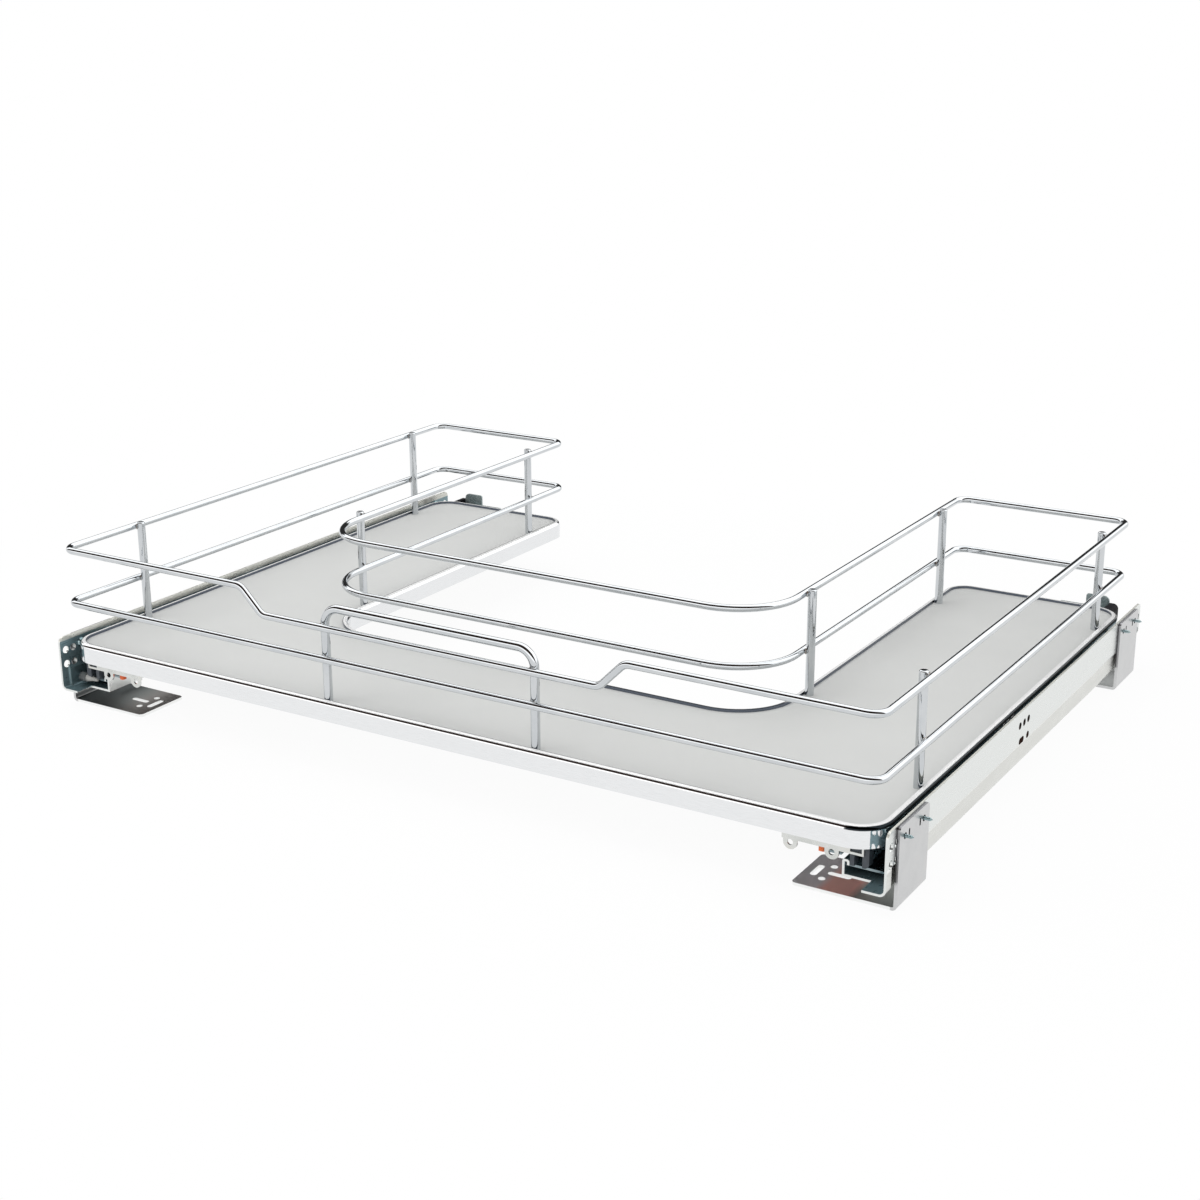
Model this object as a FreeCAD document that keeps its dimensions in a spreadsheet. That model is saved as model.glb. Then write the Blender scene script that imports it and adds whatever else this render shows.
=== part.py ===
import FreeCAD, Part
import math
import os
import Sketcher

# U-shaped vanity pull-out: a board tray with wire rails on two concealed
# full-extension slides. X is across, Y runs to the back, Z is up.
# The origin is on the floor, midway between the slides' ends.

# Driving sizes in millimetres
sizes = {
    # Tray
    "tray_width": 636.0,
    "tray_setback": 2.5,
    "tray_corner": 22.0,
    "gap_width": 361.0,
    "gap_corner": 40.0,
    "arm_corner": 18.0,
    "front_strip": 126.5,
    "board_bottom": 37.0,
    "board_thickness": 12.0,
    "band_thickness": 1.2,
    "band_lip": 4.4,
    "band_rise": 1.8,
    "band_round": 3.0,
    # Wire rails, posts and handle
    "rail_diameter": 5.0,
    "rail_corner": 10.0,
    "rail_gap_corner": 45.0,
    "lower_rail_height": 31.0,
    "upper_rail_height": 71.0,
    "dip_drop": 18.0,
    "dip_half_width": 150.0,
    "dip_bend": 9.0,
    "post_diameter": 6.0,
    "post_height": 74.5,
    "post_round": 1.2,
    "weld_sink": 0.25,
    "front_post_setback": 75.0,
    "rear_post_setback": 50.5,
    "gap_post_setback": 55.0,
    "handle_half_width": 82.5,
    "handle_height": 66.0,
    "handle_bend": 12.0,
    # Screws under the board
    "post_screw_diameter": 3.9,
    "post_screw_head": 7.6,
    "post_screw_reach": 22.0,
    "screw_clearance": 0.1,
    "bore_spare": 2.0,
    "drive_width": 2.4,
    "drive_depth": 1.5,
    # Slide channel that stays in the cabinet
    "slide_length": 482.0,
    "sheet_thickness": 1.5,
    "wall_face": 324.5,
    "wall_top": 52.8,
    "floor_bottom": 13.0,
    "floor_inner": 291.0,
    "floor_bend": 4.5,
    "wall_corner": 4.5,
    "hook_top": 24.1,
    "hook_reach": 4.5,
    "hook_drop": 3.6,
    "step_height": 28.0,
    "step_inset": 1.2,
    "step_rise": 2.0,
    "step_start": 7.0,
    "floor_notch": 14.0,
    "floor_tongue": 15.0,
    "end_hole_diameter": 5.5,
    "end_hole_edge": 5.1,
    "end_hole_pitch": 7.3,
    "end_hole_top": 42.6,
    "end_hole_rows": 10.8,
    "mid_hole_diameter": 5.0,
    "mid_hole_height": 43.4,
    "mid_hole_pitch": 8.0,
    "clip_hole_height": 32.0,
    "clip_hole_place": 21.0,
    "clip_slot_place": 9.0,
    "clip_slot_length": 9.4,
    "clip_slot_width": 4.6,
    # Floor brackets
    "bracket_thickness": 2.0,
    "bracket_length": 44.0,
    "bracket_setback": 12.0,
    "bracket_height": 52.2,
    "bracket_foot": 67.0,
    "bracket_bend": 3.0,
    "foot_corner": 3.0,
    "cross_slot_place": 43.5,
    "cross_slot_length": 15.0,
    "cross_slot_width": 4.0,
    "depth_slot_place": 58.0,
    "depth_slot_length": 15.0,
    "depth_slot_width": 4.3,
    "foot_hole_place": 51.0,
    "foot_hole_offset": 9.0,
    "foot_hole_diameter": 4.5,
    "bracket_screw_height": 44.5,
    "bracket_screw_offset": 14.0,
    "bracket_screw_diameter": 3.9,
    "bracket_screw_head": 7.0,
    "bracket_screw_cap": 2.0,
    "bracket_screw_reach": 6.0,
    "plate_slot_offset": 8.0,
    "plate_slot_width": 2.0,
    "plate_slot_length": 5.0,
    # Balls and cages
    "ball_diameter": 4.0,
    "ball_gap": 0.05,
    "ball_count": 10,
    "cage_gap": 0.35,
    "cage_length": 215.0,
    "cage_end": 10.0,
    "cage_bore_gap": 0.15,
    "cage_wall": 2.0,
    "lower_cage_start": 131.0,
    "upper_cage_start": 141.0,
    "lower_row_inner": 298.0,
    "lower_row_outer": 314.5,
    "upper_row_inner": 290.0,
    "upper_row_outer": 298.5,
    # Middle slide member
    "middle_start": 17.5,
    "middle_length": 440.0,
    "middle_foot_inner": 293.3,
    "middle_foot_outer": 319.0,
    "middle_web": 303.5,
    "middle_head_inner": 284.5,
    "middle_lip": 5.1,
    # Slide channel under the tray
    "drawer_start": 17.0,
    "drawer_length": 464.0,
    "drawer_inner": 280.0,
    "drawer_outer": 308.0,
    "drawer_lip": 7.5,
    "drawer_outer_lip": 2.0,
    "running_gap": 0.35,
    # Rear hook and bumper
    "hook_depth": 16.5,
    "hook_tab_inner": 283.0,
    "hook_tab_outer": 301.0,
    "hook_tab_height": 17.0,
    "hook_wing": 21.0,
    "hook_wing_height": 8.0,
    "prong_width": 6.0,
    "prong_height": 4.5,
    "bumper_height": 12.0,
    "bumper_round": 4.0,
    # Front lock
    "lock_front": 9.5,
    "lock_sheet": 1.2,
    "lock_inner": 254.0,
    "lock_outer": 297.0,
    "lock_back": 46.5,
    "lock_flange": 6.7,
    "flange_outer": 306.0,
    "window_inner": 297.5,
    "window_outer": 304.8,
    "window_top": 35.2,
    "window_bottom": 31.8,
    "tab_inner_place": 259.5,
    "tab_outer_place": 286.0,
    "tab_width": 9.0,
    "tab_drop": 13.0,
    "eyelet_diameter": 3.8,
    "eyelet_drop": 8.5,
    "lock_body_height": 3.5,
    "lock_body_back": 36.0,
    "lock_body_outer": 309.0,
    "nose_inner": 297.0,
    "nose_bottom": 22.5,
    "nose_slot_top": 30.0,
    "nose_slot_width": 5.0,
    "wheel_radius": 3.2,
    "pin_place": 268.0,
    "pin_setback": 35.0,
    "pin_diameter": 4.0,
    "pin_gap": 0.06,
    "pin_head": 6.4,
    "pin_head_height": 1.0,
    "lever_thickness": 3.0,
    "lever_boss": 9.0,
    "lever_setback": 2.6,
    "finger_inner": 275.7,
    "finger_outer": 279.5,
    "finger_depth": 4.0,
    "finger_bottom": 25.4,
    "lock_screw_diameter": 3.4,
    "lock_screw_head": 6.6,
    "lock_screw_cap": 1.8,
    "lock_screw_reach": 9.0,
    "lock_screw_edge": 6.0,
    "lock_screw_pitch": 12.0,
    # Soft-close damper
    "damper_inner": 311.0,
    "damper_bottom": 23.5,
    "damper_height": 11.0,
    "damper_start": 211.0,
    "damper_length": 185.0,
    "damper_wall": 1.4,
    "damper_tube": 6.4,
    "tube_length": 92.0,
    "rod_diameter": 2.4,
    "rod_length": 48.0,
    "catch_length": 20.0,
    "clip_play": 0.25,
    "seat_gap": 0.05,
}

doc = FreeCAD.newDocument("vanity_pull_out")
sheet = doc.addObject("Spreadsheet::Sheet", "Sizes")
sub_parts = []


class Size:
    # A value together with the cell formula that gives it.
    def __init__(self, value, formula):
        self.value = value
        self.formula = formula

    def join(self, sign, other, value):
        return Size(value, "(" + self.formula + sign + formula_of(other) + ")")

    def __add__(self, other):
        return self.join(" + ", other, self.value + value_of(other))

    def __radd__(self, other):
        return self + other

    def __sub__(self, other):
        return self.join(" - ", other, self.value - value_of(other))

    def __rsub__(self, other):
        return Size(other - self.value, "(" + formula_of(other) + " - " + self.formula + ")")

    def __mul__(self, factor):
        return self.join(" * ", factor, self.value * factor)

    def __rmul__(self, factor):
        return self * factor

    def __truediv__(self, other):
        return self.join(" / ", other, self.value / value_of(other))

    def __neg__(self):
        return self * -1


def value_of(item):
    return item.value if isinstance(item, Size) else item


def formula_of(item):
    return item.formula if isinstance(item, Size) else "(" + repr(item) + ")"


def fill_sheet():
    cells = {}
    for row, (alias, value) in enumerate(sizes.items(), start=1):
        sheet.set("A" + str(row), alias)
        sheet.set("B" + str(row), repr(value))
        sheet.setAlias("B" + str(row), alias)
        cells[alias] = Size(value, "Sizes." + alias)
    return cells


def worked_out(alias, size):
    # A size that follows from others gets a cell with its formula.
    row = str(sheet_rows["next"])
    sheet_rows["next"] += 1
    sheet.set("A" + row, alias)
    sheet.set("B" + row, "=" + formula_of(size).replace("Sizes.", ""))
    sheet.setAlias("B" + row, alias)
    return Size(size.value, "Sizes." + alias)


given = fill_sheet()
sheet_rows = {"next": len(sizes) + 1}
zero = Size(0.0, "0")
doc.recompute()


def new_body(name):
    body = doc.addObject("PartDesign::Body", name)
    body.Label = name
    body.AllowCompound = True
    sub_parts.append(body)
    return body


# Each origin plane, with the world axis along its normal and that normal's sign
plane_facing = {"XY_Plane": 1, "YZ_Plane": 1, "XZ_Plane": -1}


def new_sketch(body, name, role, level):
    sketch = body.newObject("Sketcher::SketchObject", body.Name + "_" + name)
    for feature in body.Origin.OriginFeatures:
        if feature.Role == role:
            sketch.AttachmentSupport = [(feature, "")]
    sketch.MapMode = "FlatFace"
    offset = level * plane_facing[role]
    sketch.AttachmentOffset = FreeCAD.Placement(
        FreeCAD.Vector(0, 0, value_of(offset)), FreeCAD.Rotation())
    sketch.setExpression("AttachmentOffset.Base.z", formula_of(offset))
    return sketch


def fix_point(sketch, geometry, position, x, y):
    for kind, distance in (("DistanceX", x), ("DistanceY", y)):
        fix_along(sketch, kind, geometry, position, distance)


def fix_along(sketch, kind, geometry, position, distance):
    number = sketch.addConstraint(
        Sketcher.Constraint(kind, -1, 1, geometry, position, value_of(distance)))
    sketch.setExpression("Constraints[" + str(number) + "]", formula_of(distance))


def rounded(corners):
    # Turns corners (x, y, radius), joined along the axes, into path points:
    # (x, y) ends a line and (x, y, centre x, centre y, turn) ends an arc.
    path = []
    count = len(corners)
    for number, (x, y, radius) in enumerate(corners):
        if not value_of(radius):
            path.append((x, y))
            continue
        before = corners[number - 1]
        after = corners[(number + 1) % count]
        into = direction(before, (x, y))
        out = direction((x, y), after)
        first = (x - radius * into[0], y - radius * into[1])
        last = (x + radius * out[0], y + radius * out[1])
        centre = (first[0] + radius * out[0], first[1] + radius * out[1])
        turn = into[0] * out[1] - into[1] * out[0]
        path.append(first)
        path.append((last[0], last[1], centre[0], centre[1], turn))
    return path


def direction(start, end):
    across = value_of(end[0]) - value_of(start[0])
    along = value_of(end[1]) - value_of(start[1])
    if abs(across) > abs(along):
        return (int(math.copysign(1, across)), 0)
    return (0, int(math.copysign(1, along)))


def draw(sketch, path, closed=True):
    # Each point is held by its two distances from the sketch's origin, and each
    # arc by one coordinate of its centre.
    starts = []
    ends = []
    first = 0 if closed else 1
    for number in range(first, len(path)):
        start = path[number - 1]
        end = path[number]
        if len(end) == 2:
            line = Part.LineSegment(vector(start), vector(end))
            geometry = sketch.addGeometry(line, False)
            starts.append((geometry, 1, start))
            ends.append((geometry, 2))
            continue
        centre = end[2:4]
        turn = end[4]
        begin = start if turn > 0 else end
        finish = end if turn > 0 else start
        radius = math.dist(numbers(start), numbers(centre))
        circle = Part.Circle(vector(centre), FreeCAD.Vector(0, 0, 1), radius)
        arc = Part.ArcOfCircle(circle, angle(centre, begin), angle(centre, finish))
        geometry = sketch.addGeometry(arc, False)
        starts.append((geometry, 1 if turn > 0 else 2, start))
        ends.append((geometry, 2 if turn > 0 else 1))
        chord = [numbers(end)[axis] - numbers(start)[axis] for axis in (0, 1)]
        if abs(chord[1]) * 2 > abs(chord[0]):
            fix_along(sketch, "DistanceX", geometry, 3, centre[0])
        else:
            fix_along(sketch, "DistanceY", geometry, 3, centre[1])
    for number in range(len(starts)):
        geometry, position, place = starts[number]
        fix_point(sketch, geometry, position, place[0], place[1])
        if number or closed:
            other, other_position = ends[number - 1]
            sketch.addConstraint(
                Sketcher.Constraint("Coincident", other, other_position, geometry, position))
    if not closed:
        geometry, position = ends[-1]
        fix_point(sketch, geometry, position, path[-1][0], path[-1][1])


def numbers(point):
    return (value_of(point[0]), value_of(point[1]))


def vector(point):
    return FreeCAD.Vector(value_of(point[0]), value_of(point[1]), 0)


def angle(centre, point):
    return math.atan2(value_of(point[1]) - value_of(centre[1]),
                      value_of(point[0]) - value_of(centre[0]))


def draw_circles(sketch, places, radius):
    for place in places:
        circle = Part.Circle(vector(place), FreeCAD.Vector(0, 0, 1), value_of(radius))
        geometry = sketch.addGeometry(circle, False)
        number = sketch.addConstraint(
            Sketcher.Constraint("Radius", geometry, value_of(radius)))
        sketch.setExpression("Constraints[" + str(number) + "]", formula_of(radius))
        fix_point(sketch, geometry, 3, place[0], place[1])


def slot(x, y, length_x, length_y):
    # A slot with round ends, along whichever of its two lengths is longer.
    if value_of(length_x) > value_of(length_y):
        radius = length_y / 2
        reach = length_x / 2 - radius
        return [(x - reach, y + radius, x - reach, y, -1),
                (x + reach, y + radius),
                (x + reach, y - radius, x + reach, y, -1),
                (x - reach, y - radius)]
    radius = length_x / 2
    reach = length_y / 2 - radius
    return [(x + radius, y + reach),
            (x - radius, y + reach, x, y + reach, 1),
            (x - radius, y - reach),
            (x + radius, y - reach, x, y - reach, 1)]


def add_between(body, name, role, low, high, cut=False, taper=0):
    # A pad or a pocket between two levels along the plane's world axis. It
    # starts at the level from which its own direction leads to the other one.
    points_up = (plane_facing[role] > 0) != cut
    sketch = new_sketch(body, name, role, low if points_up else high)
    kind = "PartDesign::Pocket" if cut else "PartDesign::Pad"
    feature = body.newObject(kind, body.Name + "_" + name + ("_cut" if cut else "_pad"))
    feature.Profile = sketch
    feature.Length = value_of(high - low)
    feature.setExpression("Length", formula_of(high - low))
    if taper:
        feature.TaperAngle = taper
    return sketch


def mirrored(points, side):
    return [(side_of(point[0], side), *point[1:]) for point in points]


def side_of(x, side):
    return x if side > 0 else -x


def span(side, low, high):
    return (low, high) if side > 0 else (-high, -low)


def edges_where(shape, test):
    names = []
    for number, edge in enumerate(shape.Edges, start=1):
        if test(edge.BoundBox):
            names.append("Edge" + str(number))
    return names


def add_fillet(body, name, edges, radius):
    base = body.Tip
    fillet = body.newObject("PartDesign::Fillet", body.Name + "_" + name)
    fillet.Base = (base, edges)
    fillet.Radius = value_of(radius)
    fillet.setExpression("Radius", formula_of(radius))
    return fillet


def origin_axis(body, role):
    for feature in body.Origin.OriginFeatures:
        if feature.Role == role:
            return feature


def row_pattern(body, name, originals, length, count):
    pattern = body.newObject("PartDesign::LinearPattern", body.Name + "_" + name)
    pattern.Originals = originals
    pattern.Direction = (origin_axis(body, "Y_Axis"), [""])
    pattern.Length = value_of(length)
    pattern.setExpression("Length", formula_of(length))
    pattern.Occurrences = int(value_of(count))
    pattern.setExpression("Occurrences", formula_of(count))
    body.Tip = pattern


# Places that several pieces share
slide_end = worked_out("slide_end", given["slide_length"] / 2)
tray_half = worked_out("tray_half", given["tray_width"] / 2)
gap_half = worked_out("gap_half", given["gap_width"] / 2)
tray_front = worked_out("tray_front", given["tray_setback"] - slide_end)
drawer_front = worked_out("drawer_front", given["drawer_start"] - slide_end)
drawer_rear = worked_out("drawer_rear", drawer_front + given["drawer_length"])
tray_rear = worked_out("tray_rear", drawer_rear - given["hook_depth"])
gap_front = worked_out("gap_front", tray_front + given["front_strip"])
board_top = worked_out("board_top", given["board_bottom"] + given["board_thickness"])
band_top = worked_out("band_top", board_top + given["band_rise"])
rail_radius = worked_out("rail_radius", given["rail_diameter"] / 2)
post_radius = worked_out("post_radius", given["post_diameter"] / 2)
rail_to_post = worked_out("rail_to_post", rail_radius + post_radius - given["weld_sink"])
post_line = worked_out("post_line", tray_half - rail_radius - rail_to_post)
gap_post_line = worked_out("gap_post_line", gap_half + rail_radius + rail_to_post)
front_post = worked_out("front_post", tray_front + given["front_post_setback"])
rear_post = worked_out("rear_post", tray_rear - given["rear_post_setback"])
gap_post = worked_out("gap_post", gap_front + given["gap_post_setback"])
handle_line = worked_out("handle_line", tray_front + rail_radius + rail_to_post)

sheet_thickness = given["sheet_thickness"]
wall_inner = worked_out("wall_inner", given["wall_face"] - sheet_thickness)
floor_top = worked_out("floor_top", given["floor_bottom"] + sheet_thickness)
ball_space = worked_out("ball_space", given["ball_diameter"] + 2 * given["ball_gap"])
middle_bottom = worked_out("middle_bottom", floor_top + ball_space)
middle_top = worked_out(
    "middle_top", given["board_bottom"] - sheet_thickness - ball_space)
drawer_bottom = worked_out(
    "drawer_bottom",
    middle_top - given["middle_lip"] - given["running_gap"] - sheet_thickness)
damper_front = worked_out("damper_front", given["damper_start"] - slide_end)
clip_hole = worked_out("clip_hole", damper_front + given["clip_hole_place"])
clip_slot = worked_out("clip_slot", damper_front + given["clip_slot_place"])
bracket_face = worked_out("bracket_face", given["wall_face"] + given["bracket_thickness"])
bracket_centre = worked_out(
    "bracket_centre", slide_end - given["bracket_setback"] - given["bracket_length"] / 2)


def u_outline(inset, outer_radius, arm_radius, gap_radius):
    # Corners of the U, moved into the board by the inset.
    side = tray_half - inset
    arm = gap_half + inset
    front = tray_front + inset
    rear = tray_rear - inset
    gap = gap_front - inset
    return [(-side, front, outer_radius), (side, front, outer_radius),
            (side, rear, outer_radius), (arm, rear, arm_radius),
            (arm, gap, gap_radius), (-arm, gap, gap_radius),
            (-arm, rear, arm_radius), (-side, rear, outer_radius)]


def board_outline(inset):
    return u_outline(inset, given["tray_corner"] - inset, given["arm_corner"] - inset,
                     given["gap_corner"] + inset)


def rail_outline(start):
    # The rail's centre line from a point on its front run, round the tray.
    corners = u_outline(rail_radius, given["rail_corner"], given["rail_corner"],
                        given["rail_gap_corner"])
    return [(start, tray_front + rail_radius, 0)] + corners[1:] + corners[:1]


post_places = {
    "front_post": (post_line, front_post),
    "rear_post": (post_line, rear_post),
    "gap_post": (gap_post_line, gap_post),
    "arm_rear_post": (gap_post_line, rear_post),
}


def screw_places():
    places = []
    for side in (-1, 1):
        for x, y in post_places.values():
            places.append((side_of(x, side), y))
        places.append((side_of(given["handle_half_width"], side), handle_line))
    return places


def lock_screw_places(side):
    inner = given["lock_inner"] + given["lock_screw_edge"]
    back = tray_front + given["lock_front"] + given["lock_back"]
    y = back - given["lock_screw_edge"]
    return [(side_of(inner, side), y),
            (side_of(inner + given["lock_screw_pitch"], side), y)]


# Tray board, with holes for the screws that come from below
def make_board():
    board = new_body("tray_board")
    bottom = given["board_bottom"]
    outline = add_between(board, "plate", "XY_Plane", bottom, board_top)
    draw(outline, rounded(board_outline(given["band_thickness"])))
    clearance = given["screw_clearance"]
    holes = add_between(board, "post_holes", "XY_Plane", bottom, board_top, cut=True)
    draw_circles(holes, screw_places(), given["post_screw_diameter"] / 2 + clearance)
    # The countersinks open downwards at 45 degrees
    sink = (given["post_screw_head"] - given["post_screw_diameter"]) / 2
    mouths = add_between(board, "sinks", "XY_Plane", bottom, bottom + sink, cut=True, taper=45)
    draw_circles(mouths, screw_places(), given["post_screw_diameter"] / 2 + clearance)
    pilots = add_between(board, "lock_holes", "XY_Plane", bottom,
                         bottom + given["lock_screw_reach"], cut=True)
    places = lock_screw_places(-1) + lock_screw_places(1)
    draw_circles(pilots, places, given["lock_screw_diameter"] / 2 + given["seat_gap"])


# Metal band round the board's edge, with a rounded lip over its top
def make_band():
    band = new_body("edge_band")
    bottom = given["board_bottom"]
    outline = add_between(band, "outside", "XY_Plane", bottom, band_top)
    draw(outline, rounded(board_outline(zero)))
    doc.recompute()
    top = value_of(band_top)
    edges = edges_where(band.Tip.Shape, lambda box: box.ZMin > top - 0.01)
    add_fillet(band, "shoulder", edges, given["band_round"])
    inside = add_between(band, "board_space", "XY_Plane", bottom, board_top, cut=True)
    draw(inside, rounded(board_outline(given["band_thickness"])))
    opening = add_between(band, "opening", "XY_Plane", board_top, band_top, cut=True)
    draw(opening, rounded(board_outline(given["band_lip"])))


def add_pipe(body, name, profile, path):
    pipe = body.newObject("PartDesign::AdditivePipe", body.Name + "_" + name)
    pipe.Profile = profile
    pipe.Spine = (path, ["Edge" + str(number + 1) for number in range(len(path.Geometry))])
    return pipe


# Lower rail: a flat closed loop of wire
def make_lower_rail():
    rail = new_body("lower_rail")
    height = board_top + given["lower_rail_height"]
    path = new_sketch(rail, "path", "XY_Plane", height)
    points = rounded(rail_outline(zero))
    draw(path, points + points[:1], closed=False)
    section = new_sketch(rail, "section", "YZ_Plane", zero)
    draw_circles(section, [(tray_front + rail_radius, height)], rail_radius)
    add_pipe(rail, "loop", section, path)


# Upper rail: the same loop with a dip in its front run
def make_upper_rail():
    rail = new_body("upper_rail")
    height = board_top + given["upper_rail_height"]
    line = tray_front + rail_radius
    bend = given["dip_bend"]
    half = given["dip_half_width"]
    reach = bend * (math.sqrt(2) - 1)
    start = half + reach
    section = new_sketch(rail, "section", "YZ_Plane", start)
    draw_circles(section, [(line, height)], rail_radius)
    around = new_sketch(rail, "around", "XY_Plane", height)
    corners = rail_outline(start) + [(-start, line, 0)]
    draw(around, rounded(corners), closed=False)
    add_pipe(rail, "loop", section, around)
    # The dip's two slopes run at 45 degrees
    drop = given["dip_drop"]
    low = height - drop
    foot = half - drop
    diagonal = bend * math.sqrt(0.5)
    right = [(start, height),
             (start - diagonal, height - bend + diagonal, start, height - bend, 1),
             (foot - reach + diagonal, low + bend - diagonal),
             (foot - reach, low, foot - reach, low + bend, -1)]
    left = [(reach - foot, low),
            (reach - foot - diagonal, low + bend - diagonal, reach - foot, low + bend, -1),
            (diagonal - start, height - bend + diagonal),
            (-start, height, -start, height - bend, 1)]
    dip = new_sketch(rail, "dip", "XZ_Plane", line)
    draw(dip, right + left, closed=False)
    add_pipe(rail, "dipped_run", section, dip)


# Pull handle: a hoop of wire that stands on the board behind the front rails
def make_handle():
    handle = new_body("pull_handle")
    half = given["handle_half_width"]
    top = board_top + given["handle_height"]
    bend = given["handle_bend"]
    section = new_sketch(handle, "section", "XY_Plane", board_top)
    draw_circles(section, [(-half, handle_line)], post_radius)
    hoop = new_sketch(handle, "hoop", "XZ_Plane", handle_line)
    corners = [(-half, board_top, 0), (-half, top, bend), (half, top, bend), (half, board_top, 0)]
    draw(hoop, rounded(corners), closed=False)
    add_pipe(handle, "wire", section, hoop)
    depth = post_bore_depth()
    bores = add_between(handle, "bores", "XY_Plane", board_top, board_top + depth, cut=True)
    draw_circles(bores, [(-half, handle_line), (half, handle_line)], post_bore_radius())


def post_bore_depth():
    return given["post_screw_reach"] - given["board_thickness"] + given["bore_spare"]


def post_bore_radius():
    return given["post_screw_diameter"] / 2 + given["seat_gap"]


# Posts: wire turned to a round top, with a bore for the screw from below
def make_post(name, x, y):
    post = new_body(name)
    outline = new_sketch(post, "half", "XZ_Plane", zero)
    height = given["post_height"]
    bore = post_bore_radius()
    depth = post_bore_depth()
    corners = [(bore, zero, 0), (post_radius, zero, 0),
               (post_radius, height, given["post_round"]), (zero, height, 0),
               (zero, depth, 0), (bore, depth, 0)]
    draw(outline, rounded(corners))
    turned = post.newObject("PartDesign::Revolution", name + "_turned")
    turned.Profile = outline
    turned.ReferenceAxis = (outline, ["V_Axis"])
    turned.Angle = 360
    place_at(post, x, y, board_top)


def place_at(body, x, y, z):
    body.Placement = FreeCAD.Placement(
        FreeCAD.Vector(value_of(x), value_of(y), value_of(z)), FreeCAD.Rotation())
    for axis, distance in (("x", x), ("y", y), ("z", z)):
        body.setExpression("Placement.Base." + axis, formula_of(distance))


# Countersunk screws with a square drive, from under the board into each post
def make_post_screws():
    screws = new_body("post_screws")
    bottom = given["board_bottom"]
    radius = given["post_screw_diameter"] / 2
    sink = given["post_screw_head"] / 2 - radius
    shanks = add_between(screws, "shanks", "XY_Plane", bottom,
                         bottom + given["post_screw_reach"])
    draw_circles(shanks, screw_places(), radius)
    heads = add_between(screws, "heads", "XY_Plane", bottom, bottom + sink, taper=-45)
    draw_circles(heads, screw_places(), given["post_screw_head"] / 2)
    drives = add_between(screws, "drives", "XY_Plane", bottom,
                         bottom + given["drive_depth"], cut=True)
    half = given["drive_width"] / 2
    for x, y in screw_places():
        draw(drives, [(x - half, y - half), (x + half, y - half),
                      (x + half, y + half), (x - half, y + half)])


# Channel that stays in the cabinet: outer wall, floor and short hooked inner wall
def make_cabinet_profile(name, side):
    channel = new_body(name)
    gauge = sheet_thickness
    face = given["wall_face"]
    inset = given["step_inset"]
    step = given["step_height"]
    high = step + given["step_rise"]
    bend = given["floor_bend"]
    inner = given["floor_inner"]
    hook = given["hook_top"]
    reach = inner + given["hook_reach"]
    low = hook - given["hook_drop"]

    def section(shift):
        lower = face - shift
        corners = [(inner, given["floor_bottom"], 0), (lower, given["floor_bottom"], bend)]
        if value_of(shift):
            corners += [(lower, step, 0), (face, high, 0)]
        corners += [(face, given["wall_top"], 0), (face - gauge, given["wall_top"], 0)]
        if value_of(shift):
            corners += [(face - gauge, high, 0), (lower - gauge, step, 0)]
        corners += [(lower - gauge, floor_top, bend - gauge),
                    (inner + gauge, floor_top, 0), (inner + gauge, hook - gauge, 0),
                    (reach - gauge, hook - gauge, 0), (reach - gauge, low, 0),
                    (reach, low, 0), (reach, hook, gauge), (inner, hook, gauge)]
        return rounded(mirrored(corners, side))

    front = -slide_end
    main = add_between(channel, "main", "XZ_Plane", front + given["step_start"], slide_end)
    draw(main, section(inset))
    lead = add_between(channel, "front_end", "XZ_Plane", front, front + given["step_start"])
    draw(lead, section(zero))
    doc.recompute()
    top = value_of(given["wall_top"])
    ends = edges_where(
        channel.Tip.Shape,
        lambda box: box.ZMin > top - 0.01 and box.YLength < 0.01
        and abs(abs(box.YMin) - slide_end.value) < 0.01)
    add_fillet(channel, "corners", ends, given["wall_corner"])

    # The floor's inner part starts further back than its outer part
    notch = add_between(channel, "notch", "XY_Plane", given["floor_bottom"] - gauge,
                        hook + gauge, cut=True)
    edge = face - given["floor_tongue"]
    draw(notch, mirrored([(inner - gauge, front - gauge), (edge, front - gauge),
                          (edge, front + given["floor_notch"]),
                          (inner - gauge, front + given["floor_notch"])], side))

    low_x, high_x = span(side, wall_inner - gauge, face + gauge)
    round_holes = add_between(channel, "holes", "YZ_Plane", low_x, high_x, cut=True)
    draw_circles(round_holes, end_hole_places(), given["end_hole_diameter"] / 2)
    pitch = given["mid_hole_pitch"]
    small = [(clip_hole - pitch * number, given["mid_hole_height"]) for number in range(3)]
    small.append((clip_hole, given["clip_hole_height"]))
    draw_circles(round_holes, small, given["mid_hole_diameter"] / 2)
    draw_circles(round_holes, bracket_screw_places(-1) + bracket_screw_places(1),
                 given["bracket_screw_diameter"] / 2 + given["screw_clearance"])
    draw(round_holes, slot(clip_slot, given["clip_hole_height"],
                           given["clip_slot_length"], given["clip_slot_width"]))


def end_hole_places():
    places = []
    for end in (-1, 1):
        for column in (0, 1):
            for row in (0, 1):
                back = given["end_hole_edge"] + given["end_hole_pitch"] * column
                y = (slide_end - back) * end
                z = given["end_hole_top"] - given["end_hole_rows"] * row
                places.append((y, z))
    return places


def bracket_screw_places(end):
    centre = bracket_centre * end
    return [(centre + given["bracket_screw_offset"] * way, given["bracket_screw_height"])
            for way in (-1, 1)]


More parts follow.
